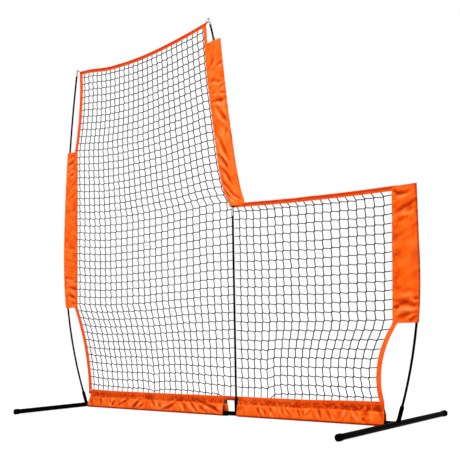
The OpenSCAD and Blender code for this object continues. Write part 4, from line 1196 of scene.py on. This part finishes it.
def makeTape(name, spec):
    length, seed, half = spec["length"], spec["seed"], tapeShape["half"]

    def surface(u, v):
        x, z = spec["path"](v)
        width = tapeWide * spec["wide"] + 0.0008 * noiseAt(v * 40, 1.0, seed)
        s = (u - 0.5) * 2  # -1 front inner edge, 0 the fold, 1 back inner edge
        side = -1 if s < 0 else 1
        a = width * abs(s)
        if a < half:
            y = side * half * roundOff(a, half)
        else:
            swell = 0.0005 * bell(a - 0.006, 0.004)
            y = side * (half + swell - 0.0005 * smooth((a - 0.015) / 0.006))
        wave = math.sin(v * length / 0.021 * math.pi + 1.7 * math.sin(v * 31 + seed))
        pucker = tapeShape["ripple"] * wave
        groove = bell(a - tapeShape["stitchAt"], 0.0012) + 0.8 * bell(a - 0.0085, 0.0016)
        y += side * (pucker * smooth((a - 0.003) / 0.006) * 0.6 - 0.0005 * groove)
        y += pushed(x, z) + 0.0009 * noiseAt(v * length * 11, 0.4, seed)
        # painted shade: the tape's own band of painted shade or highlight, and darker stitch
        # grooves; the noise is random tone
        shade = spec["shade"](a / width) + 0.45 * groove
        shade += 0.35 * noiseAt(v * length * 45, a * 60, seed)
        inwards = a + 0.0012 * noiseAt(v * length * 9, 5.0, seed)
        towards = spec["towards"]
        return Vector((x + towards[0] * inwards, y, z + towards[1] * inwards)), shade

    rows = int(length / tapeShape["pitch"])
    strip = shapedGrid(name, tapeShape["across"], rows, surface, (2 * tapeWide, length))
    outwards(strip)
    front = min(strip.data.polygons, key=lambda face: face.center.y)
    if front.normal.y > 0:
        strip.data.flip_normals()
    thicken(strip, tapeShape["ply"])
    shiftToTee(strip)
    finishPiece(strip, name, "tape", [spec["node"]])
    return strip, surface


def alongZ(edge, low, high):
    return lambda v: (edge(low + (high - low) * v) + tapeWide, low + (high - low) * v)


def alongX(edge, start, end):
    return lambda v: (start + (end - start) * v, edge(start + (end - start) * v))


def leftTapePath(v):
    z = 0.101 + 2.0075 * v
    ripple = 0.0007 * math.sin(v * 110) * smooth((v - 0.74) / 0.03)
    return leftEdge(z) - tapeWide - 0.002 - ripple, z


def bandedTape(share):  # painted shade: a darker band where the fold's ridge turns away from the light
    return 0.85 * smooth(1 - abs(share - 0.38) / 0.34) - 0.05


def brightTape(share):  # hangs upright and takes the light
    return -0.35


# path of the fold, direction of the net from it, length, share of the usual width, painted shade
# and highlight across the tape
tapes = {
    "leftBinding": (leftTapePath, (1, 0), 2.02, 1.22, lambda share: -0.08),
    "centreBinding": (alongZ(centreEdge, 1.111, 2.141), (-1, 0), 1.04, 1.0, brightTape),
    "rightBinding": (alongZ(rightEdge, 0.101, 1.049), (-1, 0), 0.96, 1.10, brightTape),
    "topBinding": (alongX(topEdge, -1.2424, -0.1635), (0, -1), 1.085, 1.06, bandedTape),
    "lowTopBinding": (alongX(lowTopEdge, -0.0075, 0.947), (0, -1), 0.955, 1.06, bandedTape),
    # the bottom tape gets deeper painted shade where it lies inside the base sleeves' top
    "bottomBinding": (
        alongX(lambda x: 0.078, -1.1295, 0.836), (0, 1), 1.9655, 1.0,
        lambda share: bandedTape(share) + 0.3,
    ),
}
tapeNodes = (
    "left_binding", "centre_binding", "right_binding", "top_binding", "low_top_binding",
    "bottom_binding",
)
for index, (name, values) in enumerate(tapes.items()):
    spec = dict(zip(("path", "towards", "length", "wide", "shade"), values))
    spec.update(seed=30.0 + index, node=tapeNodes[index])
    strip, surfaces[name] = makeTape(name, spec)
print("tapes folded on")

# stitches

stitchShape = {"length": 0.0030, "width": 0.0008, "high": 0.0005, "pitch": 0.0046}


def stitchModel():
    deselectAll()
    bpy.ops.mesh.primitive_cube_add(size=1)
    stitch = bpy.context.object
    bpy.ops.object.mode_set(mode="EDIT")
    bpy.ops.mesh.select_all(action="SELECT")
    size = (stitchShape["width"], stitchShape["high"], stitchShape["length"])
    bpy.ops.transform.resize(value=size)
    bpy.ops.object.mode_set(mode="OBJECT")
    for vertex in stitch.data.vertices:  # pulled down into the cloth at both ends
        if vertex.co.y < 0:
            vertex.co.z *= 0.72
            vertex.co.x *= 0.6
    return stitch


def addStitches(mesh, model, spots, side):  # side is -1 for the front
    out = Vector((0, side, 0))
    for a, b in spots:
        along = (b - a).normalized()
        across = along.cross(out).normalized()
        middle = (a + b) / 2 + out * 0.0002
        corners = [
            mesh.verts.new(middle + across * vertex.co.x - out * vertex.co.y + along * vertex.co.z)
            for vertex in model.data.vertices
        ]
        for face in model.data.polygons:
            mesh.faces.new([corners[k] for k in tuple(face.vertices)[::-side]])


def stitchRow(place, length):  # where each stitch starts and ends
    count = int(length / stitchShape["pitch"])
    return [(place((k + 0.2) / count), place((k + 0.8) / count)) for k in range(count)]


def sewRows(name, rows):
    model = stitchModel()
    deselectAll()
    bpy.ops.mesh.primitive_cube_add(size=0.001)
    thing = bpy.context.object
    mesh = bmesh.new()
    for spots, side in rows:
        addStitches(mesh, model, spots, side)
    bmesh.ops.recalc_face_normals(mesh, faces=mesh.faces)
    mesh.to_mesh(thing.data)
    mesh.free()
    bpy.data.objects.remove(model)
    shiftToTee(thing)
    finishPiece(thing, name, "thread")


def onPly(name, side, share, v):  # a point of the cloth's front, or of its back
    return surfaces[name](share / 2 if side < 0 else 1 - share / 2, v)[0]


def hemRows(name, side, inset, reach, length):
    return [
        (stitchRow(lambda t: onPly(name, side, 0.03 + reach * t, end), length), side)
        for end in (inset, 1 - inset)
    ]


def sewPoleSleeve(name, spec):
    low, length = spec["low"], spec["high"] - spec["low"]

    def widthAt(z):
        return abs(spec["outer"](z) - spec["inner"](z))

    def along(side, distance, fromOuter):
        def place(v):
            width = widthAt(low + length * v)
            target = share = (width - distance if fromOuter else distance) / width
            for _ in range(12):  # undo the sleeve's uneven spacing
                share = target + crowded(share)
            return onPly(name, side, share, v)
        return stitchRow(place, length), side

    rows = []
    for side in (-1, 1):
        rows += [along(side, seam, False) for seam in sleeveShape["seams"]]
        if spec["outerSeam"]:
            rows.append(along(side, spec["outerSeam"], True))
        rows += hemRows(name, side, sleeveShape["hemStitch"] / length, 0.94, widthAt(low))
    sewRows(name + "Stitches", rows)


def sewBaseSleeve(name, spec):
    rows = []
    for side in (-1, 1):
        for seam in baseShape["seams"]:
            def place(v):
                return onPly(name, side, seam / girth, 0.004 + 0.992 * v)
            rows.append((stitchRow(place, spec["length"]), side))
        rows += hemRows(name, side, 0.010 / spec["length"], 0.72, 0.08)
    sewRows(spec["stitches"], rows)


for name, spec in poleSleeves.items():
    sewPoleSleeve(name, spec)
for name, spec in baseSleeves.items():
    sewBaseSleeve(name, spec)
rows = []
for name in list(tapes)[:-1]:  # the bottom tape's stitches are under the base sleeves
    for side in (-1, 1):
        u = 0.5 + side * tapeShape["stitchAt"] / tapeWide / 2
        rows.append((stitchRow(lambda v: surfaces[name](u, v)[0], tapes[name][2]), side))
sewRows("bindingStitches", rows)
print("stitches sewn")

# corner loops: a strip of tape round each link's lower bar

cornerLoop = {"width": 0.0066, "bar": 0.0024, "rows": 44, "ply": 0.0007}


def addCornerLoop(name, node, degrees):
    low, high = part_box(node)
    reach = math.hypot(*(high[k] - low[k] - 0.0016 for k in (0, 2)))
    middle = Vector(((low[0] + high[0]) / 2, 0, (low[2] + high[2]) / 2))
    angle = math.radians(degrees)
    away = Vector((math.cos(angle), 0, math.sin(angle)))
    across = Vector((-away.z, 0, away.x))
    longHalf = 0.5 * reach * 0.80

    def place(u, v):  # a long eye, pinched where it enters the net's corner
        turn = 2 * math.pi * v
        along = longHalf * math.cos(turn)
        pinch = 0.35 + 0.65 * smooth((along / longHalf + 1.1) / 1.2)
        spot = middle + away * along + across * cornerLoop["bar"] * pinch * math.sin(turn)
        return spot + Vector((0, (u - 0.5) * cornerLoop["width"], 0)), 0.2

    strip = shapedGrid(name, 6, cornerLoop["rows"], place, (cornerLoop["width"], 0.04))
    outwards(strip, 0.00002)
    thicken(strip, cornerLoop["ply"])
    finishPiece(strip, name, "tape", [node])


addCornerLoop("leftCornerLoop", "left_corner_loop", 146)
addCornerLoop("centreCornerLoop", "centre_corner_loop", 50)

# hook and loop patches that close the base sleeves' ends

closures = {
    # sleeve, place along the base and height, width and height of the patch, side of the cloth
    "closureLeftEnd": ("bottomSleeveLeft", -0.0865, 0.0735, 0.0075, 0.020, 1),
    "closureLeftLow": ("bottomSleeveLeft", -0.0865, 0.0320, 0.0075, 0.022, -1),
    "closureRightEnd": ("bottomSleeveRight", 0.8290, 0.0600, 0.0060, 0.040, 1),
}


def addClosure(name, sleeve, x, z, wide, high, side):
    start, end = baseSleeves[sleeve]["from"], baseSleeves[sleeve]["to"]

    def place(u, v):
        share = clamp((baseShape["top"] - z + (0.5 - v) * high) / girth, 0.02, 0.98)
        along = clamp((x + (u - 0.5) * wide * 2 - start) / (end - start), 0.0, 0.9995)
        inside = Vector((0, side * 0.0011, 0))
        return onPly(sleeve, side, share, along) - inside, 0

    patch = shapedGrid(name, 10, 16, place, (wide, high), painted=False)
    thicken(patch, 0.0012)
    shiftToTee(patch)
    finishPiece(patch, name, "hookTape")


for name, values in closures.items():
    addClosure(name, *values)
print("loops and closures sewn on")

# weld beads where the sockets and spigots meet the foot tubes

weld = {"bead": 0.0016, "ripples": 34, "socket": 0.0098, "spigot": 0.0108}


def addWeld(name, centre, axis, radius):
    deselectAll()
    bpy.ops.mesh.primitive_torus_add(
        major_segments=136, minor_segments=10, major_radius=radius, minor_radius=weld["bead"],
    )
    bead = bpy.context.object
    turn = Vector(axis).to_track_quat("Z", "Y").to_matrix()
    for vertex in bead.data.vertices:
        around = math.atan2(vertex.co.y, vertex.co.x)
        out = Vector((math.cos(around), math.sin(around), 0))
        ring = vertex.co - out * radius
        ring *= 1 + 0.22 * abs(math.sin(weld["ripples"] * around / 2))
        vertex.co = Vector(centre) + turn @ (out * radius + ring)
    smoothShade(bead, 70)
    finishPiece(bead, name, "steel")


tee, axis, tube = outline["teeX"], outline["axisHeight"], outline["tubeRadius"]
feet = (("Left", 1.150, 24.0, -1), ("Right", 0.897, 18.5, 1))
for side, reach, tilt, out in feet:
    lean = math.radians(tilt)
    rise = tube * 1.06
    centre = (tee + out * (reach + rise * math.sin(lean)), 0, axis + rise * math.cos(lean))
    upward = (out * math.sin(lean), 0, math.cos(lean))
    addWeld("weld" + side + "Socket", centre, upward, weld["socket"])
for side, reach, tilt, out in feet:
    centre = (tee + out * (reach - tube * 0.96), 0, axis)
    addWeld("weld" + side + "Spigot", centre, (1, 0, 0), weld["spigot"])
addWeld("weldTeeSocket", (tee, 0, axis + 0.0106), (0, 0, 1), weld["socket"])
print("welds laid")

# floor, backdrop and light

studio = {
    "floor": (0.86, 0.86, 0.86), "seenFloor": (0.30, 0.30, 0.30), "glow": 0.87, "world": 0.48,
    # place, height of the target, size, power
    "lamps": {
        "keyLamp": ((3.0, -5.4, 4.8), 1.1, 1.8, 290),
        "fillLamp": ((-4.0, -4.5, 2.0), 0.9, 3.0, 50),
        "backLamp": ((3.5, 4.5, 5.0), 1.0, 3.5, 90),
    },
}


def seenBy(tree):  # 1 for what the camera sees, also by way of another piece
    ray = addNode(tree, "LightPath").outputs
    seen = ray["Is Camera Ray"]
    for kind in ("Is Glossy Ray", "Is Transmission Ray"):
        either = addNode(tree, "Math", {0: seen, 1: ray[kind]}, operation="MAXIMUM")
        seen = either.outputs["Value"]
    return seen


def addFloor():
    deselectAll()
    bpy.ops.mesh.primitive_plane_add(size=60, location=(0, 0, 0))
    floor = bpy.context.object
    floor.name = "studioFloor"
    material, tree, shader = newMaterial("paleFloor", studio["floor"], Roughness=0.9)
    floor.data.materials.append(material)
    shader.inputs["Specular IOR Level"].default_value = 0.0
    seen = seenBy(tree)  # white to the camera except where the object shades it
    glow = addNode(tree, "Math", {0: seen, 1: studio["glow"]}, operation="MULTIPLY")
    colour = mixed(tree, seen, (*studio["floor"], 1), (*studio["seenFloor"], 1))
    tree.links.new(colour, shader.inputs["Base Color"])
    shader.inputs["Emission Color"].default_value = (1, 1, 1, 1)
    tree.links.new(glow.outputs["Value"], shader.inputs["Emission Strength"])


def addWorld():
    world = bpy.data.worlds.new("studioWorld")
    bpy.context.scene.world = world
    world.use_nodes = True
    tree = world.node_tree
    light = tree.nodes["Background"]
    light.inputs["Color"].default_value = (1, 1, 1, 1)
    light.inputs["Strength"].default_value = studio["world"]
    white = addNode(tree, "Background", {"Color": (1, 1, 1, 1), "Strength": 1.0})
    shaders = {0: seenBy(tree), 1: light.outputs["Background"], 2: white.outputs["Background"]}
    mix = addNode(tree, "MixShader", shaders)
    tree.links.new(mix.outputs["Shader"], tree.nodes["World Output"].inputs["Surface"])


def addLamp(name, place, height, size, power):
    deselectAll()
    bpy.ops.object.light_add(type="AREA", location=place)
    lamp = bpy.context.object
    lamp.name = name
    lamp.data.shape = "SQUARE"
    lamp.data.size = size
    lamp.data.energy = power
    aim = Vector((0, 0, height)) - Vector(place)
    lamp.rotation_euler = aim.to_track_quat("-Z", "Y").to_euler()


addFloor()
addWorld()
for name, values in studio["lamps"].items():
    addLamp(name, *values)
bpy.context.scene.view_settings.view_transform = "Standard"
print("studio lit")
